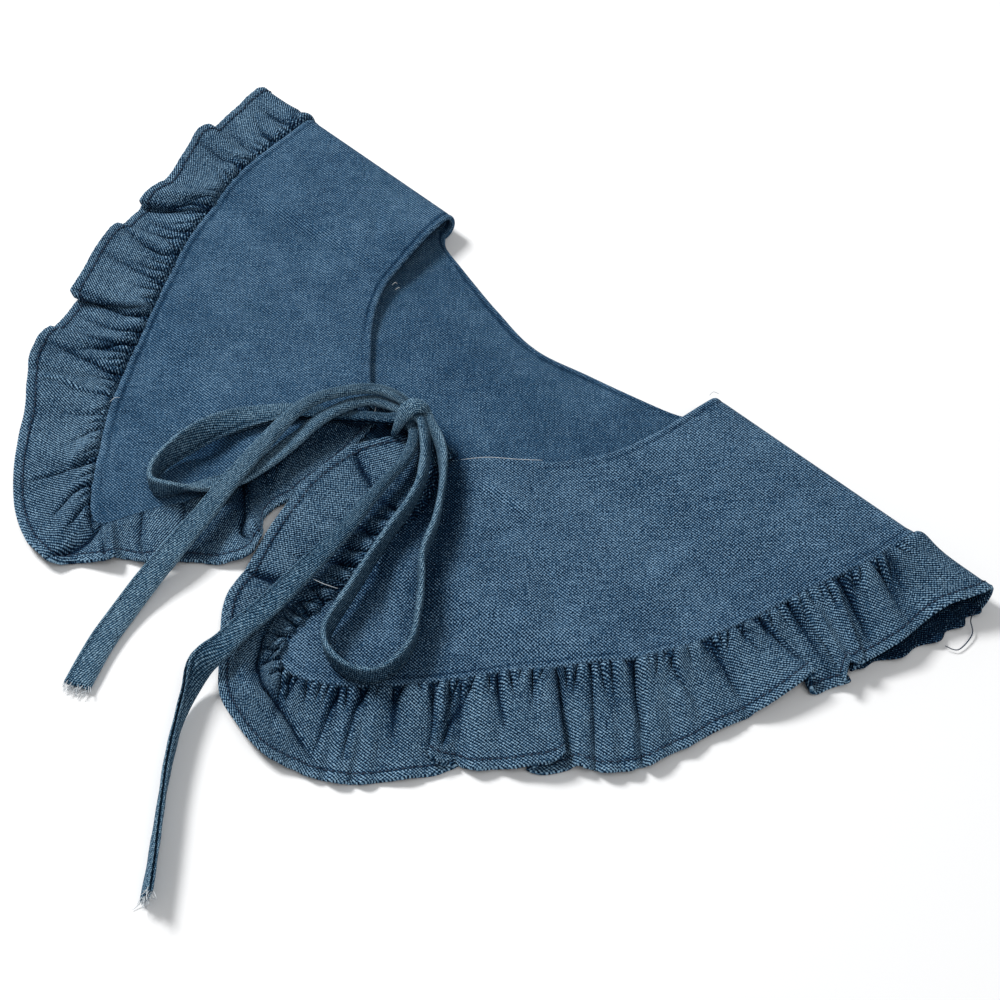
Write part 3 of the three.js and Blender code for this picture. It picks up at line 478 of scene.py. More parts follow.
def curve(rows: tuple, count: int) -> np.ndarray:
    """The rounded curve through all the rows, at this many even steps of the row number."""
    return rounded(np.array(rows, float), np.linspace(0, len(rows) - 1, count))


def lengths(points: np.ndarray, axis: int = 0) -> np.ndarray:
    """The distance to each point along a line, or along one axis of a grid."""
    steps = np.linalg.norm(np.diff(points, axis=axis), axis=-1)
    return np.concatenate([np.zeros_like(np.take(steps, [0], axis)), np.cumsum(steps, axis=axis)], axis=axis)


def at_lengths(wanted: np.ndarray, far: np.ndarray, points: np.ndarray) -> np.ndarray:
    """The points at these distances along a line, in straight steps between its own."""
    return np.stack([np.interp(wanted, far, column) for column in points.T], axis=-1)


def edge_gap(out: np.ndarray, along: np.ndarray) -> np.ndarray:
    """How far each point of a strip is from the nearest of its four edges."""
    return reduce(np.minimum, (out, out[:, -1:] - out, along, along[-1:] - along))


def bell(value: np.ndarray, width: float) -> np.ndarray:
    """exp(−(value / width)²): 1 at nothing, and fading on both sides."""
    return np.exp(-((value / width) ** 2))


def held_over(height: np.ndarray, floor: np.ndarray | float, keen: float) -> np.ndarray:
    """The height kept over a floor by a soft bend: floor + ln(1 + exp(keen × (height − floor))) / keen."""
    return floor + np.logaddexp(0, (height - floor) * keen) / keen


def powered(value: np.ndarray, power: np.ndarray) -> np.ndarray:
    """The value with its size raised to a power and its sign kept."""
    return np.sign(value) * np.abs(value) ** power


def raised(plan: np.ndarray, height: np.ndarray) -> np.ndarray:
    """A grid of plan points with its heights."""
    return np.concatenate([plan, height[..., None]], axis=2)


def strip_weave(along: np.ndarray, out: np.ndarray) -> np.ndarray:
    """Where each point of a strip lies on the flat cloth: how far along it, and how far across."""
    return np.stack([along[:, None] + 0 * out, out], axis=-1)


@dataclass
class Edge:
    """A plan outline as a smooth curve with even steps of length."""

    rows: tuple[tuple[float, float], ...]

    def __post_init__(self) -> None:
        """Works the curve out once, at forty points a row."""
        self.points = curve(self.rows, 40 * (len(self.rows) - 1) + 1)
        self.far = lengths(self.points)
        self.length = float(self.far[-1])

    def at(self, share: np.ndarray) -> np.ndarray:
        """The plan points at these shares of the length."""
        return at_lengths(np.clip(share, 0, 1) * self.length, self.far, self.points)


def placed(points: np.ndarray) -> np.ndarray:
    """Plan millimetres as metres in the shared frame."""
    return (points - CENTRE) / 1000


def unit(vectors: np.ndarray) -> np.ndarray:
    """The vectors at length one."""
    return vectors / np.maximum(np.linalg.norm(vectors, axis=-1, keepdims=True), 1e-9)


def off_back(plan: np.ndarray) -> np.ndarray:
    """How far out each plan point is over the back, as a share: 1 on the ellipse of the back frill's hem."""
    return np.hypot((plan[..., 0] - BACK_MID_X) / BACK_HEM[0], (plan[..., 1] - FOLD_Y) / BACK_HEM[1])


def front_height(plan: np.ndarray) -> np.ndarray:
    """The height of the middle of the front layer over the table.

    It comes down from the shoulder fold in a smooth step, lies on the back layer, and steps off the back
    frill's hem, an ellipse, to the table.

    Args:
        plan: plan points, the last axis x and y.

    Returns:
        The height at each point.
    """
    settled = 1 - ease(0, SETTLE, FOLD_Y - plan[..., 1])
    below = mix(OVER_BACK, ON_TABLE, ease(0.99, 1.13, off_back(plan)))
    return mix(below, FOLD_TOP, settled)


def crease_height(plan: np.ndarray, creases: tuple[Crease, ...]) -> np.ndarray:
    """The sum of the creases at each plan point: a bell, or a cusp, over the distance from each line.

    Args:
        plan: plan points, the last axis x and y.
        creases: the ridges, and troughs with a negative rise.

    Returns:
        The height to add at each point.
    """
    flat = plan.reshape(-1, 2)
    total = np.zeros(len(flat))
    for crease in creases:
        line = np.array(crease.points, float)
        far = lengths(line)
        start, step = line[:-1], np.diff(line, axis=0)
        part = np.einsum("nsk,sk->ns", flat[:, None] - start[None], step) / (step**2).sum(1)
        part = np.clip(part, 0, 1)
        gap = np.linalg.norm(flat[:, None] - (start + part[..., None] * step), axis=2)
        near = gap.argmin(axis=1)
        pick = np.arange(len(flat))
        share = (far[near] + part[pick, near] * np.diff(far)[near]) / far[-1]
        if crease.fades is Fades.FAR_END:
            taper = np.clip(1 - share, 0, 1) ** 0.6
        else:
            taper = np.sin(np.pi * np.clip(share, 0.04, 0.96)) ** 0.7
        away = gap[pick, near] / crease.width
        total += crease.rise * taper * np.exp(-1.45 * away if crease.keen else -(away**2))
    return total.reshape(plan.shape[:-1])


def painted_tie_shadow(plan: np.ndarray) -> np.ndarray:
    """How far each point lies in the ties' painted shadow, in the hollow under and beside them, from 0 to 1.

    It is a bell over the distance to their lines, moved aside by half their height, and it is stronger
    where they stand high.

    Args:
        plan: plan points, the last axis x and y.

    Returns:
        One number for each point.
    """
    flat = plan.reshape(-1, 2)
    hollow = np.zeros(len(flat))
    for rows in TIE_ROUTES.values():
        line = curve(rows, 4 * len(rows))[:, :3]
        aside = line[:, :2] + (line[:, 2:] - 5) * np.array([0.5, 0.15])
        gap = (flat[:, :1] - aside[:, 0]) ** 2 + (flat[:, 1:2] - aside[:, 1]) ** 2
        high = np.clip((line[:, 2] - 6) / 7, 0, 1) * ease(-228, -206, line[:, 1])
        hollow = np.maximum(hollow, (high * np.exp(-gap / 36)).max(axis=1))
    return hollow.reshape(plan.shape[:-1])


# ---------------------------------------------------------------- meshes
@dataclass
class Cloth:
    """A closed, soft-edged piece of cloth: a grid of middle points, with half its thickness at each.

    The front face is middle + normal × half, the back face is middle − normal × half, and the two share
    the points on the border, where half is nothing.
    """

    middle: np.ndarray
    half: np.ndarray
    weave: np.ndarray
    # painted shade at each point: how much darker the colour is made where shade falls
    shade: np.ndarray
    wear: np.ndarray
    turn: int = 1
    smooth: np.ndarray | None = None
    # painted shade added to the whole back face
    under: float = 0.0

    def normals(self) -> np.ndarray:
        """The unit normal at each grid point: the grid's two directions crossed, times the turn."""
        ahead, across = np.gradient(self.middle, axis=(0, 1))
        return unit(np.cross(ahead, across)) * self.turn

    def trace(self, field: np.ndarray, level: float, lift: float = 0.0) -> tuple[np.ndarray, np.ndarray]:
        """A line on the front face where a field that falls along each row passes a level.

        Args:
            field: one number for each grid point.
            level: the number sought.
            lift: how far over the face the line runs.

        Returns:
            The line's points and their normals.
        """
        rows = np.arange(len(field))
        after = np.clip((field > level).sum(axis=1), 1, field.shape[1] - 1)
        high, low = field[rows, after - 1], field[rows, after]
        part = np.clip((high - level) / np.maximum(high - low, 1e-6), 0, 1)[:, None]
        normal = self.normals()
        face = self.middle + normal * self.half[..., None]
        up = unit(mix(normal[rows, after - 1], normal[rows, after], part))
        return mix(face[rows, after - 1], face[rows, after], part) + up * lift, up

    def build(self, name: str, finish: "Denim") -> bpy.types.Object:
        """Makes the mesh.

        Args:
            name: the object's name.
            finish: the cloth it is made of.

        Returns:
            The object, at the origin.
        """
        rows, columns = self.half.shape
        normal = self.normals()
        front = self.middle + normal * self.half[..., None]
        back = self.middle - normal * self.half[..., None]
        border = np.zeros((rows, columns), bool)
        border[[0, -1], :] = True
        border[:, [0, -1]] = True
        ids = np.arange(rows * columns).reshape(rows, columns)
        under = ids.copy()
        under[~border] = rows * columns + np.arange((~border).sum())
        points = np.vstack([front.reshape(-1, 3), back[~border]])
        points[:, 2] = np.maximum(points[:, 2], LOWEST)
        a, b, c, d = ids[:-1, :-1], ids[1:, :-1], ids[1:, 1:], ids[:-1, 1:]
        e, f, g, h = under[:-1, :-1], under[1:, :-1], under[1:, 1:], under[:-1, 1:]
        faces = np.vstack([np.stack(four, axis=-1).reshape(-1, 4) for four in ((a, b, c, d), (e, h, g, f))])
        if self.turn < 0:
            faces = faces[:, ::-1]
        fields = {}
        smooth = 0 * self.half if self.smooth is None else self.smooth
        for key, grid in (("shade", self.shade), ("wear", self.wear), ("smooth", smooth)):
            # the back face gets the extra painted shade of under
            more = self.under if key == "shade" else 0
            fields[key] = np.concatenate([grid.ravel(), grid[~border] + more])
        weave = np.vstack([self.weave.reshape(-1, 2), self.weave[~border]])
        return mesh_object(name, placed(points), faces, finish.material(), fields, weave)


def mesh_object(
    name: str,
    points: np.ndarray,
    faces: np.ndarray,
    material: bpy.types.Material,
    fields: dict[str, np.ndarray] | None = None,
    weave: np.ndarray | None = None,
) -> bpy.types.Object:
    """Puts arrays into a smooth mesh object at the origin, its faces outwards.

    A closed mesh whose faces enclose a negative volume is turned over.

    Args:
        name: the object's name.
        points: the points, in metres in the frame.
        faces: four point numbers a row.
        material: what it is made of.
        fields: numbers for each point, by name.
        weave: where each point lies on the flat cloth, in millimetres.

    Returns:
        The object.
    """
    corner = [points[faces[:, k]] for k in range(4)]
    halves = np.cross(corner[1], corner[2]) + np.cross(corner[2], corner[3])
    if (corner[0] * halves).sum() < 0:
        faces = faces[:, ::-1]
    mesh = bpy.data.meshes.new(name)
    mesh.vertices.add(len(points))
    mesh.vertices.foreach_set("co", points.astype(np.float32).ravel())
    mesh.loops.add(faces.size)
    mesh.loops.foreach_set("vertex_index", faces.astype(np.int32).ravel())
    mesh.polygons.add(len(faces))
    mesh.polygons.foreach_set("loop_start", np.arange(0, faces.size, faces.shape[1], dtype=np.int32))
    mesh.polygons.foreach_set("use_smooth", np.ones(len(faces), bool))
    for key, values in (fields or {}).items():
        layer = mesh.attributes.new(key, "FLOAT", "POINT")
        layer.data.foreach_set("value", values.astype(np.float32))
    if weave is not None:
        layer = mesh.attributes.new("weave", "FLOAT_VECTOR", "POINT")
        flat = np.column_stack([weave, np.zeros(len(weave))]).astype(np.float32)
        layer.data.foreach_set("vector", flat.ravel())
    mesh.update(calc_edges=True)
    mesh.validate()
    mesh.materials.append(material)
    obj = bpy.data.objects.new(name, mesh)
    bpy.context.scene.collection.objects.link(obj)
    return obj


def round_faces(ids: np.ndarray) -> np.ndarray:
    """The faces round a tube whose rings are the rows of ids."""
    a, b = ids[:-1], ids[1:]
    return np.stack([a, b, np.roll(b, -1, 1), np.roll(a, -1, 1)], -1).reshape(-1, 4)


def end_faces(ids: np.ndarray) -> list[np.ndarray]:
    """The faces that close both ends of a tube with an even number of sides, in a strip across each."""
    low = np.arange(ids.shape[1] // 2 - 1)
    high = ids.shape[1] - 1 - low
    ladder = np.stack([low, low + 1, high - 1, high], axis=-1)
    return [ids[0][ladder], ids[-1][ladder][:, ::-1]]


def threads(
    name: str, lines: list[np.ndarray], radius: float, finish: "Yarn", sides: int = 6
) -> bpy.types.Object:
    """Round threads along lines of points, narrower and closed at both ends, as one object.

    Each ring is its point plus radius × (cos, sin) in the plane across the line.

    Args:
        name: the object's name.
        lines: the plan points of each thread.
        radius: of the thread.
        finish: the yarn.
        sides: of its round, an even number.

    Returns:
        The object.
    """
    points, faces, base = [], [], 0
    angle = np.arange(sides) * 2 * np.pi / sides
    for line in lines:
        ahead = unit(np.gradient(line, axis=0))
        side = unit(np.cross(ahead, np.array([0.13, 0.21, 1.0])))
        up = np.cross(side, ahead)
        swell = radius * (0.45 + 0.55 * np.sin(np.linspace(0, np.pi, len(line))) ** 0.5)
        ring = side[:, None] * np.cos(angle)[None, :, None] + up[:, None] * np.sin(angle)[None, :, None]
        ids = base + np.arange(len(line) * sides).reshape(len(line), sides)
        a, b = ids[:-1], ids[1:]
        faces.append(np.stack([a, np.roll(a, -1, 1), np.roll(b, -1, 1), b], -1).reshape(-1, 4)[:, ::-1])
        faces += end_faces(ids)
        points.append((line[:, None] + ring * swell[:, None, None]).reshape(-1, 3))
        base += len(line) * sides
    laid = np.vstack(points)
    laid[:, 2] = np.maximum(laid[:, 2], LOWEST)
    return mesh_object(name, placed(laid), np.vstack(faces), finish.material())


def stitches(
    line: np.ndarray, normal: np.ndarray, length: float = 2.3, space: float = 0.8
) -> list[np.ndarray]:
    """Cuts a line on a cloth into stitches that dip into it at both ends.

    Args:
        line: the points of the stitching line.
        normal: the cloth's normal at each.
        length: of a stitch.
        space: between two stitches.

    Returns:
        Five points for each stitch.
    """
    far = lengths(line)
    first = np.arange(1.0, far[-1] - length - 1, length + space)
    spots = first[:, None] + np.linspace(0, length, 5)[None]
    dip = np.array([-0.22, 0.04, 0.09, 0.04, -0.22])[None, :, None]
    return list(at_lengths(spots, far, line) + at_lengths(spots, far, normal) * dip)


# ---------------------------------------------------------------- shader maths
class Value:
    """A socket that can be used in Python expressions, which add the Math nodes."""

    def __init__(self, graph: "Graph", socket: bpy.types.NodeSocket) -> None:
        """Wraps a socket of a graph."""
        self.graph = graph
        self.socket = socket

    def _math(self, operation: str, *values: "Value | float") -> "Value":
        """One Math node on these values."""
        return self.graph.node("ShaderNodeMath", {"operation": operation}, dict(enumerate(values)))

    def __add__(self, other: "Value | float") -> "Value":
        """self + other."""
        return self._math("ADD", self, other)

    __radd__ = __add__

    def __sub__(self, other: "Value | float") -> "Value":
        """self − other."""
        return self._math("SUBTRACT", self, other)

    def __rsub__(self, other: float) -> "Value":
        """other − self."""
        return self._math("SUBTRACT", other, self)

    def __mul__(self, other: "Value | float") -> "Value":
        """self × other."""
        return self._math("MULTIPLY", self, other)

    __rmul__ = __mul__

    def sine(self) -> "Value":
        """The sine of an angle in radians."""
        return self._math("SINE", self)

    def step(self, start: float, end: float) -> "Value":
        """A smooth step from 0 at start to 1 at end."""
        sockets = {"Value": self, "From Min": start, "From Max": end}
        return self.graph.node("ShaderNodeMapRange", {"interpolation_type": "SMOOTHSTEP"}, sockets)


class Graph:
    """A material's nodes, made one by one from a type, its settings and its sockets."""

    def __init__(self, name: str) -> None:
        """Starts an empty material with a Principled shader on its output."""
        self.material = bpy.data.materials.new(name)
        self.material.use_nodes = True
        self.tree = self.material.node_tree
        self.tree.nodes.clear()
        self.shader = self.tree.nodes.new("ShaderNodeBsdfPrincipled")
        output = self.tree.nodes.new("ShaderNodeOutputMaterial")
        self.tree.links.new(self.shader.outputs["BSDF"], output.inputs["Surface"])

    def node(self, kind: str, settings: dict, sockets: dict, output: str | int = 0) -> Value:
        """Adds a node.

        Args:
            kind: its type.
            settings: its own settings, made first.
            sockets: values or links for its inputs, by name or number.
            output: the output wanted.

        Returns:
            That output.
        """
        made = self.tree.nodes.new(kind)
        for key, value in settings.items():
            setattr(made, key, value)
        for key, value in sockets.items():
            self.feed(made.inputs[key], value)
        return Value(self, made.outputs[output])

    def feed(self, socket: bpy.types.NodeSocket, value: "Value | float | tuple") -> None:
        """Links a value to a socket, or sets a plain one."""
        if isinstance(value, Value):
            self.tree.links.new(value.socket, socket)
        else:
            socket.default_value = value

    def set(self, name: str, value: "Value | float | tuple") -> None:
        """Feeds one of the shader's own sockets."""
        self.feed(self.shader.inputs[name], value)

    def field(self, name: str, output: str = "Fac") -> Value:
        """One of the mesh's own fields."""
        return self.node("ShaderNodeAttribute", {"attribute_name": name}, {}, output)

    def split(self, vector: Value) -> tuple[Value, Value]:
        """The first two parts of a vector."""
        made = self.tree.nodes.new("ShaderNodeSeparateXYZ")
        self.feed(made.inputs[0], vector)
        return Value(self, made.outputs[0]), Value(self, made.outputs[1])

    def join(self, x: Value | float, y: Value | float, z: Value | float = 0.0) -> Value:
        """A vector of three values."""
        return self.node("ShaderNodeCombineXYZ", {}, {0: x, 1: y, 2: z})

    def noise(self, vector: Value, scale: float, detail: float = 2.0, rough: float = 0.5) -> Value:
        """Soft noise, from 0 to 1."""
        sockets = {"Vector": vector, "Scale": scale, "Detail": detail, "Roughness": rough}
        return self.node("ShaderNodeTexNoise", {"normalize": True}, sockets)

    def blend(self, part: Value | float, a: "Value | tuple", b: "Value | tuple") -> Value:
        """A colour from a to b by part."""
        made = self.tree.nodes.new("ShaderNodeMix")
        made.data_type = "RGBA"
        self.feed(made.inputs[0], part)
        self.feed(made.inputs[6], a)
        self.feed(made.inputs[7], b)
        return Value(self, made.outputs[2])

    def bump(self, height: Value, distance: float) -> Value:
        """A normal from a height."""
        return self.node("ShaderNodeBump", {}, {"Height": height, "Distance": distance})


Colour = tuple[float, float, float]


@dataclass(frozen=True)
class Denim:
    """Washed denim: pale beads of weft over indigo warp, with slubs, clouds and rubbed edges, darkened by the
    mesh's painted shade.

    The twill line is sin(πu/pitch_u + πv/pitch_v) over the flat cloth, turned by the slant, and the beads
    on it are sin(πu/pitch_u) × sin(πv/pitch_v).
    """

    name: str
    deep: Colour
    middle: Colour
    pale: Colour
    slant: float = 0.0
    pitch: tuple[float, float] = (0.63, 1.06)
    cloud: float = 0.5
    level: float = 0.44
    twill: float = 0.4
    grain: float = 1.0
    bead_mark: float = 0.95
    thread_mark: float = 0.7
    speck_mark: float = 3.2
    patch_mark: float = 0.3
    worn: float = 0.36
    # how much the mesh's painted shade darkens the tone
    shaded: float = 0.5
    soft: float = 0.03
    relief: float = 0.00035

    def material(self) -> bpy.types.Material:
        """Makes the material once and returns it."""
        known = bpy.data.materials.get(self.name)
        if known:
            return known
        g = Graph(self.name)
        turn = {"Vector": g.field("weave", "Vector"), "Rotation": (0.0, 0.0, math.radians(-self.slant))}
        turned = g.node("ShaderNodeMapping", {}, turn)
        u, v = g.split(turned)
        drift = g.noise(turned, 0.16, 2.0)
        across = (u + drift * 1.6) * (math.pi / self.pitch[0])
        down = (v - drift * 1.3) * (math.pi / self.pitch[1])
        bead = across.sine() * down.sine() * (1 - self.twill) + (across + down).sine() * self.twill
        warp = g.noise(g.join(u * 1.9, v * 0.09), 1.0, 2.0)
        weft = g.noise(g.join(u * 0.09, v * 1.3), 1.0, 2.0)
        speck = g.noise(turned, 1.3, 2.0, 0.75)
        cloud = g.noise(turned, 0.03, 3.0, 0.55)
        patch = g.noise(turned, 0.17, 3.0, 0.65)
        crisp = self.grain - g.field("smooth") * 0.35
        weave = (
            bead * self.bead_mark + (warp - 0.5) * self.thread_mark + (weft - 0.5) * self.thread_mark
            + (speck - 0.5) * self.speck_mark
        )
        tone = self.level + weave * crisp + (cloud - 0.5) * self.cloud + (patch - 0.5) * self.patch_mark
        # the mesh's wear field lightens the tone and its painted shade field darkens it
        tone = tone + g.field("wear") * self.worn - g.field("shade") * self.shaded
        tone = tone + g.field("smooth") * self.soft
        dark = g.blend(tone.step(-0.25, 0.62), (*self.deep, 1.0), (*self.middle, 1.0))
        colour = g.blend(tone.step(0.42, 1.3), dark, (*self.pale, 1.0))
        g.set("Base Color", colour)
        g.set("Roughness", 1.0 - speck * 0.1)
        g.set("Normal", g.bump(bead * 0.7 + warp * 0.5 + weft * 0.5 + speck * 0.8, self.relief))
        g.set("Specular IOR Level", 0.06)
        return g.material


@dataclass(frozen=True)
class Yarn:
    """Sewing thread or a loose yarn of one colour, with a fine twist."""

    name: str
    colour: Colour
    pale: Colour

    def material(self) -> bpy.types.Material:
        """Makes the material once and returns it."""
        known = bpy.data.materials.get(self.name)
        if known:
            return known
        g = Graph(self.name)
        where = g.node("ShaderNodeTexCoord", {}, {}, "Object")
        fibre = g.noise(where, 2400.0, 2.0)
        g.set("Base Color", g.blend(fibre.step(0.3, 0.75), (*self.colour, 1.0), (*self.pale, 1.0)))
        g.set("Roughness", 0.7 + fibre * 0.2)
        g.set("Normal", g.bump(fibre, 0.0001))
        return g.material


BODY_DENIM = Denim(
    "washed_denim_body", deep=(0.0003, 0.0055, 0.021), middle=(0.022, 0.074, 0.149), pale=(0.265, 0.43, 0.59),
    slant=45.0, pitch=(0.73, 0.73), cloud=0.5, level=0.42,
)
FRILL_DENIM = Denim(
    "washed_denim_frill", deep=(0.0003, 0.0045, 0.017), middle=(0.021, 0.071, 0.141), pale=(0.31, 0.49, 0.64),
    slant=0.0, pitch=(0.7, 0.7), cloud=0.4, level=0.39, twill=0.46,
)
TIE_DENIM = Denim(
    "washed_denim_tie", deep=(0.0004, 0.006, 0.02), middle=(0.027, 0.087, 0.158), pale=(0.33, 0.5, 0.62),
    slant=35.0, pitch=(0.52, 0.62), cloud=0.3, level=0.48, twill=0.3, grain=0.85,
)
DARK_THREAD = Yarn("thread_navy", colour=(0.01, 0.022, 0.05), pale=(0.03, 0.055, 0.1))
PALE_THREAD = Yarn("thread_pale", colour=(0.45, 0.5, 0.54), pale=(0.75, 0.78, 0.8))


def edge_steps(count: int, width: float, wall: float) -> np.ndarray:
    """Shares across a panel that crowd at both edges, so that the edge is round.

    Args:
        count: steps between the two crowded ends.
        width: of the panel, in millimetres.
        wall: thickness of the cloth there.

    Returns:
        Shares from 0 to 1.
    """
    near = np.array([0.0, 0.04, 0.16, 0.36, EDGE_ROUND]) * wall / width
    middle = np.linspace(wall / width, 1 - wall / width, count)
    return np.concatenate([near, middle, 1 - near[::-1]])


def soft_edge(distance: np.ndarray, wall: float) -> np.ndarray:
    """Half the thickness at a distance from an edge: a quarter round, full at EDGE_ROUND walls in."""
    part = np.clip(distance / (EDGE_ROUND * wall), 0, 1)
    return wall / 2 * np.sqrt(1 - (1 - part) ** 2)


@dataclass
class Body:
    """The two-ply body: the left front, round the left shoulder, the back, and down the right front."""

    front_rows: int = 132
    fold_rows: int = 22
    back_rows: int = 132
    across: int = 70

    def shares(self) -> np.ndarray:
        """The shares of the way from the neck to the seam."""
        return edge_steps(self.across, PANEL_WIDTH, BODY_WALL)

    def front(self, side: Side) -> tuple[np.ndarray, np.ndarray]:
        """One front, from its tip up to the shoulder fold.

        The plan is filled in between four edges: the two lengthwise edges blended across, plus the two
        end edges blended along, less the four corners blended both ways.

        Args:
            side: which front.

        Returns:
            The middle points, tip first, and where they lie on the flat cloth.
        """
        neck, seam, edge = Edge(NECK_FRONT[side]), Edge(SEAM_FRONT[side]), Edge(FRONT_EDGE[side])
        part = np.linspace(1, 0, self.front_rows)
        s = mix(part, 1 - (1 - part) ** 2, 0.6)[:, None, None]
        t = self.shares()[None, :, None]
        near, far = neck.at(s[:, 0, 0])[:, None], seam.at(s[:, 0, 0])[:, None]
        end = edge.at(1 - t[0, :, 0])[None]
        first, last = np.zeros(1), np.ones(1)
        top = mix(neck.at(first), seam.at(first), t[0])[None]
        corners = (
            neck.at(first) * (1 - s) * (1 - t) + neck.at(last) * s * (1 - t)
            + seam.at(first) * (1 - s) * t + seam.at(last) * s * t
        )
        plan = mix(near, far, t) + mix(top, end, s) - corners
        height = front_height(plan) + 1.5 * crease_height(plan, BODY_CREASES) + self.unevenness(plan)
        return raised(plan, height), plan

    def unevenness(self, plan: np.ndarray) -> np.ndarray:
        """The slight unevenness of washed cloth: a few crossed sines whose lines wander."""
        x, y = plan[..., 0], plan[..., 1]
        bend = 3 * np.sin(x / 23 + 1) + 4 * np.sin(y / 19)
        return (
            0.16 * np.sin((x + bend) / 9.5) * np.sin((y - bend) / 11) + 0.1 * np.sin((x - y + bend) / 5.3)
            * np.sin((x + y) / 17) + 0.18 * np.sin((x + 2 * y + 2 * bend) / 29)
        )

    def shoulder(self, side: Side) -> tuple[np.ndarray, np.ndarray]:
        """The shoulder fold from its top to the table: a half circle carried along the fold."""
        angle = np.linspace(np.pi / 2, -np.pi / 2, self.fold_rows + 2)[1:-1][:, None]
        t = self.shares()[None]
        neck, seam = NECK_FRONT[side][0][0], SEAM_FRONT[side][0][0]
        x = mix(neck, seam, t) + 0 * angle
        y = FOLD_Y + FOLD_RADIUS * np.cos(angle) + 0 * t
        z = BODY_WALL / 2 + FOLD_RADIUS * (1 + np.sin(angle)) + 0 * t
        weave = np.stack([x, FOLD_Y + FOLD_RADIUS * (np.pi / 2 - angle) + 0 * t], axis=-1)
        return np.stack([x, y, z], axis=-1), weave

    def back(self) -> tuple[np.ndarray, np.ndarray]:
        """The back, flat on the table, from the left shoulder round to the right, ruled from neck to seam."""
        share = np.linspace(1, 0, self.back_rows)[:, None]
        t = self.shares()[None, :, None]
        neck = Edge(NECK_BACK).at(share[:, 0])[:, None]
        angle = share * np.pi
        x = BACK_MID_X + BACK_SEAM[0] * np.cos(angle)
        y = FOLD_Y - BACK_SEAM[1] * np.sin(angle)
        plan = mix(neck, np.stack([x, y], axis=-1), t)
        height = BODY_WALL / 2 + 0.6 + self.unevenness(plan) + crease_height(plan, BACK_CREASES)
        weave = np.stack([plan[..., 0], 2 * (FOLD_Y + FOLD_RADIUS * np.pi / 2) - plan[..., 1]], axis=-1)
        return raised(plan, held_over(height, ON_TABLE, 5)), weave

    def build(self) -> bpy.types.Object:
        """Joins the stretches end to end into one folded shell.

        Returns:
            The body.
        """
        left, left_weave = self.front(Side.LEFT)
        right, right_weave = self.front(Side.RIGHT)
        turn_left, fold_left = self.shoulder(Side.LEFT)
        turn_right, fold_right = self.shoulder(Side.RIGHT)
        back, back_weave = self.back()
        middle = np.concatenate([left, turn_left, back, turn_right[::-1], right[::-1]])
        weave = np.concatenate([left_weave, fold_left, back_weave, fold_right[::-1], right_weave[::-1]])
        inward = lengths(middle, 1)
        outward = inward[:, -1:] - inward
        gap = edge_gap(inward, lengths(middle))
        allowance = 0.24 * ease(*ALLOWANCE, outward) + 0.1 * ease(*ALLOWANCE, gap)
        furrow = bell(inward - NECK_STITCH, 0.5) + 0.9 * bell(outward - SEAM_STITCH, 0.5)
        half = soft_edge(gap, BODY_WALL) * (1 + allowance - 0.24 * furrow)
        wear = 0.32 * bell(gap, 0.9) + 0.12 * ease(3.0, 2.2, outward) + 0 * gap
        rows = np.arange(len(middle))[:, None] + 0 * gap
        first, last = len(left) + 10, len(middle) - len(right) - 8
        far_side = ease(last, last - 22, rows)
        shaded_back = ease(first, first + 14, rows) * ease(last, last - 12, rows)
        # painted shade: darker in the neck and seam stitching furrows, in the ties' painted shadow where the
        # body lies under 12 mm, and a little over the shoulder folds and the back
        shade = 0.8 * furrow + 1.1 * painted_tie_shadow(middle[..., :2]) * (middle[..., 2] < 12) + 0.08 * shaded_back
        cloth = Cloth(middle, half, weave, shade, wear, smooth=far_side)
        self.neck_line = cloth.trace(-inward, -NECK_STITCH, 0.12)
        return cloth.build("collar_body", BODY_DENIM)


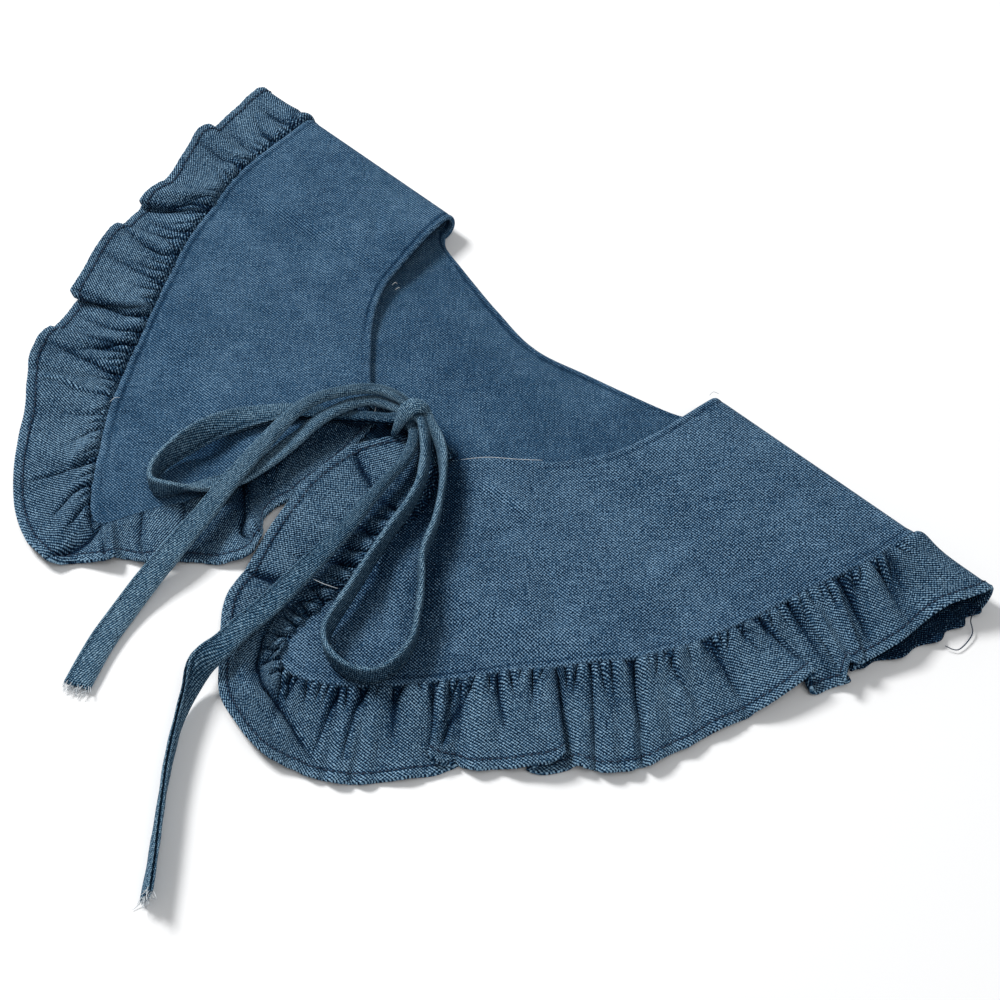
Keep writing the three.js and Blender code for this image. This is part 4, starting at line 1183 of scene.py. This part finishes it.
@dataclass
class Frill:
    """One front's gathered frill, from the shoulder fold round the tip to the neck."""

    side: Side
    steps: int = 880
    across: int = 40
    spacing: tuple[float, float] = (2.9, 5.6)
    depth: tuple[float, float] = (1.2, 3.0)
    reach: tuple[float, float] = (4.5, 11)
    long_share: float = 0.26
    long_reach: float = 2.2
    long_depth: float = 1.2
    lean: float = 0.25
    puff: float = 3.3
    puff_at: float = 3.8
    crease_gain: float = 1.35

    def tucks(self, along: np.ndarray, out: np.ndarray) -> tuple[np.ndarray, np.ndarray]:
        """The small gathers under the seam: sharp valleys of uneven depth, reach and lean, puffs between.

        A valley is depth × exp(−|distance| / width), and its width grows as it fades out from the seam.

        Args:
            along: distance along the seam.
            out: distance out from it.

        Returns:
            The height to add, and how deep in a valley each point is, from 0 to 1.
        """
        random = np.random.default_rng(TUCK_SEED[self.side])
        centre = np.cumsum(random.uniform(*self.spacing, 150))
        centre = centre[centre < along.max() - 1]
        depth = random.uniform(*self.depth, len(centre))
        reach = random.uniform(*self.reach, len(centre))
        far_ones = random.random(len(centre)) < self.long_share
        reach = np.where(far_ones, reach * self.long_reach, reach)
        depth = np.where(far_ones, depth * self.long_depth, depth)
        lean = random.normal(0, self.lean, len(centre))
        strength = np.array(GATHERING[self.side], float)
        depth = depth * np.interp(centre, strength[:, 0], strength[:, 1])
        width = 0.5 + 0.08 * out
        total, deepest = np.zeros_like(out), np.zeros_like(out)
        for spot, drop, far, slope in zip(centre, depth, reach, lean):
            valley = np.exp(-np.abs(along - spot - slope * out) / width) * bell(out, far)
            total -= drop * valley
            deepest = np.maximum(deepest, valley * min(0.5 * drop, 1.3))
        fullness = np.interp(along, strength[:, 0], strength[:, 1] ** 0.5)
        puff = self.puff * (out / self.puff_at) * np.exp(1 - out / self.puff_at) * fullness
        return total + puff * (1 - 0.9 * np.minimum(deepest, 1)), deepest

    def even(self, rows: np.ndarray) -> np.ndarray:
        """Row numbers that step evenly along the seam and the hem together."""
        fine = np.linspace(0, len(rows) - 1, 6000)
        line = through(rows, fine)
        hem = np.linalg.norm(np.gradient(line[:, 1:], axis=0), axis=1)
        travel = np.abs(np.gradient(line[:, 0])) + 0.8 * hem
        total = np.cumsum(travel)
        return np.interp(np.linspace(total[0], total[-1], self.steps), total, fine)

    def grid(self) -> tuple[np.ndarray, np.ndarray, np.ndarray]:
        """The middle surface: ruled from the seam to the hem, rising early, with tucks and creases.

        Returns:
            The middle points, the distance out from the seam, and how deep in a tuck each point is.
        """
        seam, edge = Edge(SEAM_FRONT[self.side]), Edge(FRONT_EDGE[self.side])
        rows = np.array(FOLDS[self.side], float)
        along, x, y, rise = through(rows, self.even(rows)).T
        total = seam.length + edge.length
        place = along / rows[-1, 0] * total
        start = np.where(
            (place < seam.length)[:, None], seam.at(place / seam.length),
            edge.at((place - seam.length) / edge.length),
        )
        hem = np.stack([x, y], axis=1)
        ahead = unit(np.gradient(start + 1e-6 * hem, axis=0))
        inward = np.stack([ahead[:, 1], -ahead[:, 0]], axis=1) * self.side.value
        level = front_height(start)
        start = start + inward * 1.0
        v = edge_steps(self.across, FRILL_DEPTH, FRILL_WALL)[None, :, None]
        plan = mix(start[:, None], hem[:, None], v)
        height = mix(level[:, None], rise[:, None], v[..., 0] ** 0.72)
        out = np.linalg.norm(plan - start[:, None], axis=2)
        tucked, deep = self.tucks(place[:, None] + 0 * out, out)
        creased = self.crease_gain * crease_height(plan, FRILL_CREASES[self.side]) * ease(0.2, 1.6, out)
        height = height + tucked * ease(0.3, 1.8, out) + creased
        # how deep each point lies in a tuck or a crease's trough, which sets the painted shade there
        deep = np.clip(deep**1.3 + np.clip(-creased, 0, 3) * 0.36, 0, 1.4)
        floor = mix(3.7, FRILL_WALL / 2 + 0.05, ease(0.985, 1.04, off_back(plan)))
        return raised(plan, held_over(height, floor, 4)), out, deep

    def shoulder(self, middle: np.ndarray) -> np.ndarray:
        """Carries the frill round the shoulder fold to the back: half a turn about the fold line.

        Args:
            middle: the frill's own middle surface.

        Returns:
            Rows to put before it, the back one first.
        """
        first = middle[0]
        angle = np.linspace(-np.pi / 2, np.pi / 2, 18)[:-1][:, None]
        radius = (first[None, :, 2] - FRILL_WALL / 2 - FRILL_LIFT) / 2
        y = FOLD_Y + radius * np.cos(angle)
        z = FRILL_WALL / 2 + FRILL_LIFT + radius * (1 + np.sin(angle))
        x = first[None, :, 0] + 0 * angle
        return np.stack([x, y, z], axis=-1)

    def build(self) -> bpy.types.Object:
        """Builds the frill.

        Returns:
            The frill's object.
        """
        middle, out, deep = self.grid()
        turned = self.shoulder(middle)
        middle = np.concatenate([turned, middle])
        out, deep = (np.concatenate([np.repeat(grid[:1], len(turned), axis=0), grid]) for grid in (out, deep))
        u = lengths(middle[:, int(middle.shape[1] * 0.6)])
        hem_gap = out[:, -1:] - out
        gap = edge_gap(out, u[:, None])
        furrow = bell(hem_gap - HEM_FURROW, 0.55)
        twist = np.sin((u[:, None] + 1.4 * hem_gap) * 1.7 + 2 * np.sin(u[:, None] / 11))
        rope = 1 + 0.16 * twist * ease(HEM_STITCH, 2.5, hem_gap)
        half = soft_edge(gap, FRILL_WALL) * (1 + 0.7 * ease(*HEM_TURN, hem_gap) - 0.6 * furrow) * rope
        wear = 0.45 * bell(hem_gap, 0.8) + 0.12 * ease(3.9, 3.2, hem_gap)
        wear = wear + 0.3 * (1 - deep) * np.exp(-out / 9)
        # painted shade: darker by the seam, in the tucks and the creases' troughs, along the hem's stitching
        # furrow and under the ties; under adds painted shade to the back face
        shade = 0.9 * np.exp(-out / 1.4) + 1.5 * deep + 1.2 * furrow + 0.95 * painted_tie_shadow(middle[..., :2])
        cloth = Cloth(middle, half, strip_weave(u, out), shade, wear, turn=self.side.value, under=0.8)
        self.hem_line = cloth.trace(hem_gap, HEM_STITCH, 0.1)
        return cloth.build(f"frill_{self.side.name.lower()}", FRILL_DENIM)


@dataclass
class BackFrill:
    """The back frill, pressed flat under the fronts in low uneven turns."""

    steps: int = 520
    across: int = 20
    turns: int = 34
    tucked_in: float = 1.5
    flare: float = 1.5
    rise: float = 0.9

    def build(self) -> bpy.types.Object:
        """Builds the frill: ruled between two half ellipses, with a wave that grows towards the hem.

        Returns:
            The frill's object.
        """
        share = np.linspace(0, 1, self.steps)[:, None]
        angle = share * np.pi
        wave = np.sin(2 * np.pi * (self.turns * share + 0.4 * np.sin(15 * share) + 0.25 * np.sin(41 * share)))
        v = edge_steps(self.across, FRILL_DEPTH, FRILL_WALL)[None]
        wide = mix(BACK_SEAM[0] - self.tucked_in, BACK_HEM[0] + self.flare * wave, v)
        deep = mix(BACK_SEAM[1] - self.tucked_in, BACK_HEM[1] + self.flare * wave, v)
        x = BACK_MID_X + wide * np.cos(angle)
        y = FOLD_Y - deep * np.sin(angle)
        swing = self.rise * wave * ease(0.0, 0.75, v)
        swing = swing + 0.35 * np.sin(2 * np.pi * share * 96) * np.exp(-v * 5)
        z = mix(BODY_WALL / 2, 1.6, ease(0, 0.5, v)) + swing
        z = held_over(z, 0.6, 4)
        middle = np.stack([x + 0 * z, y + 0 * z, z], axis=-1)
        out = lengths(middle, 1)
        u = lengths(middle[:, -6])
        hem_gap = out[:, -1:] - out
        half = soft_edge(edge_gap(out, u[:, None]), FRILL_WALL) * (1 + 0.25 * ease(*HEM_TURN, hem_gap))
        wear = 0.6 * bell(hem_gap, 0.9)
        # painted shade: darker by the seam under the body's edge, and at the end by the right shoulder fold,
        # where the front layer covers it
        shade = 0.7 * np.exp(-out / 2.4) + 1.3 * ease(0.2, 0.1, share)
        cloth = Cloth(middle, half, strip_weave(u, out), shade, wear, turn=-1)
        self.hem_line = cloth.trace(hem_gap, HEM_STITCH, 0.1)
        return cloth.build("frill_back", FRILL_DENIM)


@dataclass
class Tie:
    """One tie, from the neck corner into the knot, out in a loop, back in, and out to its cut end."""

    side: Side
    rows_each: int = 12
    section: int = 44
    groove_at: float = 0.66
    groove_width: float = 0.09
    fray_yarns: int = 30
    fray_reach: tuple[float, float] = (2.2, 5.2)

    def route(self, at: np.ndarray) -> tuple[np.ndarray, np.ndarray, np.ndarray]:
        """The middle line, roll and width of the strip at row numbers of its table."""
        rows = rounded(np.array(TIE_ROUTES[self.side], float), at)
        return rows[:, :3], np.radians(rows[:, 3]), rows[:, 4]

    def build(self) -> bpy.types.Object:
        """Carries a flat, round-edged section with a lengthwise groove along the route.

        Returns:
            The tie's object.
        """
        last = len(TIE_ROUTES[self.side]) - 1
        at = np.linspace(0, last, self.rows_each * last + 1)
        line, roll, wide = self.route(at)
        ahead = unit(np.gradient(line, axis=0))
        level = unit(np.stack([ahead[:, 1], -ahead[:, 0], 0 * at], axis=1))
        up = np.cross(level, ahead)
        cos, sin = np.cos(roll)[:, None], np.sin(roll)[:, None]
        width, thick = level * cos + up * sin, up * cos - level * sin
        angle = np.arange(self.section) * 2 * np.pi / self.section
        flat = ease(0.45, 0.95, wide)[:, None]
        cosine, sine = np.cos(angle)[None], np.sin(angle)[None]
        side, deep = powered(cosine, mix(0.95, 0.55, flat)), powered(sine, mix(0.95, 0.62, flat))
        from_edge = np.minimum(angle, 2 * np.pi - angle)[None]
        side = side - mix(0.25, 0.24, flat) * bell(from_edge, 0.13)
        furrow = bell(side - self.groove_at, self.groove_width) * flat
        deep = deep * (1 - 0.3 * furrow)
        far = lengths(line)
        taper = (np.clip(np.minimum(far, far[-1] - far) / 0.9, 0.05, 1) ** 0.5)[:, None, None]
        half_wide = (TIE_WIDTH * wide / 2)[:, None, None]
        ripple = 1 + 0.05 * np.sin(far / 2.3)[:, None, None] + 0.04 * np.sin(far / 5.1 + 1)[:, None, None]
        half_thick = TIE_WALL / 2 * mix(1.35, 0.95, flat)[..., None] * taper * ripple
        points = (
            line[:, None] + width[:, None] * side[..., None] * half_wide
            + thick[:, None] * deep[..., None] * half_thick
        )
        points[..., 2] = np.maximum(points[..., 2], LOWEST_TIE)
        ids = np.arange(len(at) * self.section).reshape(len(at), self.section)
        faces = np.vstack([round_faces(ids), *self.caps(ids)])
        round_it = lengths(points[len(at) // 2])
        weave = np.stack([far[:, None] + 0 * side, round_it[None] + 0 * side], axis=-1)
        wear = 0.75 * np.abs(side) ** 10 + 0 * far[:, None]
        notch_shade = bell(from_edge, 0.15) + 0 * side
        # painted shade: darker in the lengthwise groove on one face, along the notch at one narrow edge, and
        # over the first 18 to 26 mm by the root; the SHADED table and the COVERED stretches under the knot
        # add more
        shade = 0.7 * furrow * (deep > 0) + 1.6 * notch_shade + 0.9 * ease(26, 18, far)[:, None]
        rows, depth = np.array(SHADED[self.side], float).T
        shade = shade + np.interp(at, rows, depth)[:, None]
        first, end = COVERED[self.side]
        covered_shade = (ease(first - 0.6, first + 0.6, at) * ease(end + 0.5, end - 0.5, at))[:, None]
        shade = shade + (1.3 - 0.9 * (sine > 0.6)) * covered_shade
        obj = mesh_object(
            f"tie_{self.side.name.lower()}", placed(points.reshape(-1, 3)), faces, TIE_DENIM.material(),
            {"shade": shade.ravel(), "wear": wear.ravel()}, weave.reshape(-1, 2),
        )
        self.line, self.far = line, far
        self.end = (line[-1], ahead[-1], width[-1] * TIE_WIDTH / 2, thick[-1] * TIE_WALL / 2)
        return obj

    def fray(self) -> list[np.ndarray]:
        """The loose yarns of the cut end: short curved threads that fan out of the last section.

        Returns:
            Five points for each thread.
        """
        spot, ahead, width, thick = self.end
        random = np.random.default_rng(FRAY_SEED[self.side])
        lines = []
        for across in np.linspace(-0.97, 0.97, self.fray_yarns):
            root = spot - ahead * 1.2 + width * across + thick * random.uniform(-0.8, 0.8)
            lean = ahead + unit(width) * random.normal(0, 0.35) + unit(thick) * random.normal(0, 0.25)
            reach, bend = random.uniform(*self.fray_reach), random.normal(0, 0.5, 3)
            part = np.linspace(0, 1, 5)[:, None]
            line = root + unit(lean) * reach * part + bend * part**2
            line[:, 2] = np.maximum(line[:, 2], LOWEST_FRAY)
            lines.append(line)
        return lines

    def caps(self, ids: np.ndarray) -> tuple[np.ndarray, np.ndarray]:
        """Covers both ends with faces across the section, all but a small triangle at each narrow side."""
        low = np.arange(self.section // 2)
        high = (self.section - low) % self.section
        ladder = np.stack([low[:-1], low[1:], high[1:], high[:-1]], axis=-1)
        return ids[0][ladder], ids[-1][ladder][:, ::-1]


@dataclass
class Bow:
    """The knot of the bow: one strand wrapped as a hood over the crushed core."""

    upper: tuple = (
        (-1.6, -112.2, 7.6), (-2.3, -110, 11.8), (-3.1, -107.8, 15), (-3.6, -105.8, 17.5),
        (-3.2, -103.5, 19.4), (-1.7, -100.9, 20.4), (0.9, -99.1, 20.3), (3.5, -98.1, 18.2),
        (4.9, -98.5, 14.6),
    )
    lower: tuple = (
        (-0.5, -112.2, 7.6), (1.5, -110.8, 11.4), (2.7, -109.5, 14.6), (3.8, -108.2, 17.2),
        (4.4, -106.3, 18.8), (5.2, -104.5, 19.6), (6, -103, 19.5), (6.2, -101.2, 18), (5.6, -99.1, 14.6),
    )
    wall: float = 2.2
    strand: float = 6.5
    crown: float = 1.0
    heart: tuple[float, float, float] = (0.6, -104.2, 11.5)
    core_place: tuple[float, float, float] = (1.4, -103.6, 12.2)
    core_reach: tuple[float, float, float] = (5.4, 4.2, 4.6)
    core_turn: float = 45.0

    def hood(self) -> bpy.types.Object:
        """The wrapped strand: ruled between its two edges, and crowned outwards by sin(πv).

        Returns:
            The hood's object.
        """
        high, low = curve(self.upper, 120), curve(self.lower, 120)
        v = edge_steps(16, self.strand, self.wall)[None, :, None]
        middle = mix(high[:, None], low[:, None], v)
        outward = unit(middle - np.array(self.heart))
        middle = middle + outward * self.crown * np.sin(np.pi * v)
        across = lengths(middle, 1)
        along = lengths(middle[:, middle.shape[1] // 2])
        gap = edge_gap(across, along[:, None])
        wear = 0.45 * bell(gap, 0.9)
        # painted shade at the hood's low end, where it comes out from the knot, gone 6 mm along
        shade = 0.8 * ease(6, 0, along)[:, None] + 0 * gap
        cloth = Cloth(middle, soft_edge(gap, self.wall), strip_weave(along, across), shade, wear)
        return cloth.build("bow_hood", TIE_DENIM)

    def core(self) -> bpy.types.Object:
        """The strands crushed together inside the knot, as a rounded lump."""
        rows, columns = 40, 56
        polar = np.linspace(0.02, np.pi - 0.02, rows)[:, None]
        turn = np.arange(columns)[None] * 2 * np.pi / columns
        ripple = 1 + 0.05 * np.sin(3 * turn + 2 * polar)
        long, wide, high = self.core_reach
        x = long * np.sin(polar) * np.cos(turn) * ripple
        y = wide * np.sin(polar) * np.sin(turn) * ripple
        z = high * np.cos(polar) * ripple
        c, s = math.cos(math.radians(self.core_turn)), math.sin(math.radians(self.core_turn))
        east, north, up = self.core_place
        points = np.stack([east + x * c - y * s, north + x * s + y * c, up + z + 0 * turn], axis=-1)
        ids = np.arange(rows * columns).reshape(rows, columns)
        faces = np.vstack([round_faces(ids), *end_faces(ids)])
        weave = np.stack([turn * 6 + 0 * polar, polar * 6 + 0 * turn], axis=-1).reshape(-1, 2)
        flat = np.zeros(rows * columns)
        # the core inside the knot has an even painted shade
        fields = {"shade": flat + 0.6, "wear": flat}
        points = placed(points.reshape(-1, 3))
        return mesh_object("bow_core", points, faces, TIE_DENIM.material(), fields, weave)


THREAD_TAIL = (
    (225.1, -11.9, 6), (226, -15.7, 3.4), (230, -19.6, 1.4), (230.6, -28.8, 0.8), (226, -31.7, 1.6),
)
LOOSE_ENDS = (
    ((79.3, -4.5, 12.4), (79.8, -2.6, 13.6), (81.9, -1.4, 13)),
    ((34.5, -188, 9.4), (39.2, -186.4, 9), (44.2, -183.5, 8)),
    ((27.6, -101.6, 6.4), (34.6, -92.8, 6.7), (44.7, -84.3, 6.8), (52, -77.4, 6.6)),
    ((-101.4, -185.2, 6.6), (-101.3, -182.6, 7.2), (-100.3, -180.7, 6.6)),
    ((-69.8, -50.8, 7.4), (-69.2, -49.4, 8.4), (-68.4, -48.8, 7.6)),
    ((-65.9, -49.8, 7.2), (-65.5, -50.6, 8.6), (-66.2, -52.4, 7.8)),
    ((-16.3, -108.7, 11), (-15.2, -110.2, 10.4), (-14.6, -112, 9.4)),
)


def loose_yarns() -> list[np.ndarray]:
    """The few pulled yarns that lie on the collar, as smooth lines through their points."""
    return [curve(line, 6 * len(line)) for line in LOOSE_ENDS]


def place_camera() -> None:
    """Puts the camera at its distance and angle from the collar."""
    level = math.cos(CAMERA_ELEVATION)
    east, north = math.cos(CAMERA_AZIMUTH), math.sin(CAMERA_AZIMUTH)
    back = Vector((north * level, -east * level, math.sin(CAMERA_ELEVATION)))
    right = Vector((east, north, 0.0))
    up = back.cross(right)
    turned = right * math.cos(CAMERA_ROLL) + up * math.sin(CAMERA_ROLL)
    raised_up = up * math.cos(CAMERA_ROLL) - right * math.sin(CAMERA_ROLL)
    data = bpy.data.cameras.new("camera")
    data.sensor_width = CAMERA_SENSOR
    data.lens = CAMERA_LENS
    data.clip_start = 0.01
    camera = bpy.data.objects.new("camera", data)
    spot = CAMERA_AIM + back * CAMERA_DISTANCE
    camera.matrix_world = Matrix((
        *((turned[k], raised_up[k], back[k], spot[k]) for k in range(3)), (0.0, 0.0, 0.0, 1.0),
    ))
    bpy.context.scene.collection.objects.link(camera)
    bpy.context.scene.camera = camera


def area_light(name: str, spot: tuple[float, float, float], size: float, power: float) -> None:
    """A square soft light aimed at the collar."""
    data = bpy.data.lights.new(name, "AREA")
    data.size = size
    data.energy = power
    lamp = bpy.data.objects.new(name, data)
    lamp.location = spot
    lamp.rotation_euler = Vector(spot).to_track_quat("Z", "Y").to_euler()
    bpy.context.scene.collection.objects.link(lamp)


def studio() -> None:
    """A plain pale floor, an even surround and soft lights."""
    g = Graph("studio_floor")
    g.set("Base Color", FLOOR_COLOUR)
    g.set("Roughness", 0.9)
    corners = np.array([[-1, -1, 0], [1, -1, 0], [1, 1, 0], [-1, 1, 0]]) * FLOOR_REACH - [0, 0, FLOOR_DROP]
    floor = mesh_object("studio_floor", corners, np.array([[0, 1, 2, 3]]), g.material)
    world = bpy.data.worlds.new("studio")
    world.use_nodes = True
    sockets = world.node_tree.nodes["Background"].inputs
    sockets["Color"].default_value = SURROUND_COLOUR
    sockets["Strength"].default_value = SURROUND_STRENGTH
    bpy.context.scene.world = world
    for light in LIGHTS:
        area_light(*light)
    bpy.context.scene.view_settings.view_transform = "Standard"


def declare(obj: bpy.types.Object, slot: str, *nodes: str) -> None:
    """Says what carries a piece, and hides the CAD nodes that it stands for."""
    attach(obj, "root")
    if nodes:
        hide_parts(*nodes)
    log.info("%s: %d points, %d faces", obj.name, len(obj.data.vertices), len(obj.data.polygons))


def main() -> None:
    """Builds the collar in order: camera, ties, body, frills, knot, floor."""
    place_camera()
    frays = []
    for side in Side:
        tie = Tie(side)
        obj = tie.build()
        name = side.name.lower()
        declare(obj, "denim_tie", f"tie_{name}_root", f"tie_{name}_loop", f"tie_{name}_tail")
        path = placed(tie.line)
        frays += tie.fray()
    bow = Bow()
    declare(bow.core(), "denim_tie", "tie_knot")
    declare(bow.hood(), "denim_tie")
    declare(threads("pulled_yarns", frays + loose_yarns(), YARN_RADIUS, PALE_THREAD), "denim_tie")
    panel = Body()
    body = panel.build()
    declare(body, "denim_body", "body_back", "body_front_left", "body_front_right")
    first = panel.front_rows + panel.fold_rows
    back_neck = slice(first, first + panel.back_rows)
    neck_points, neck_normals = panel.neck_line
    seams = stitches(neck_points[back_neck], neck_normals[back_neck], *NECK_STITCHES)
    frills = [(Frill(side), f"ruffle_front_{side.name.lower()}", FRILL_CUT[side]) for side in Side]
    for frill, node, cut in (*frills, (BackFrill(), "ruffle_back", BACK_FRILL_CUT)):
        obj = frill.build()
        declare(obj, "denim_ruffle", node)
        seams += stitches(*frill.hem_line)
    seams.append(curve(THREAD_TAIL, 30))
    declare(threads("seam_stitches", seams, STITCH_RADIUS, DARK_THREAD), "denim_ruffle")
    studio()


if __name__ == "__main__":
    main()
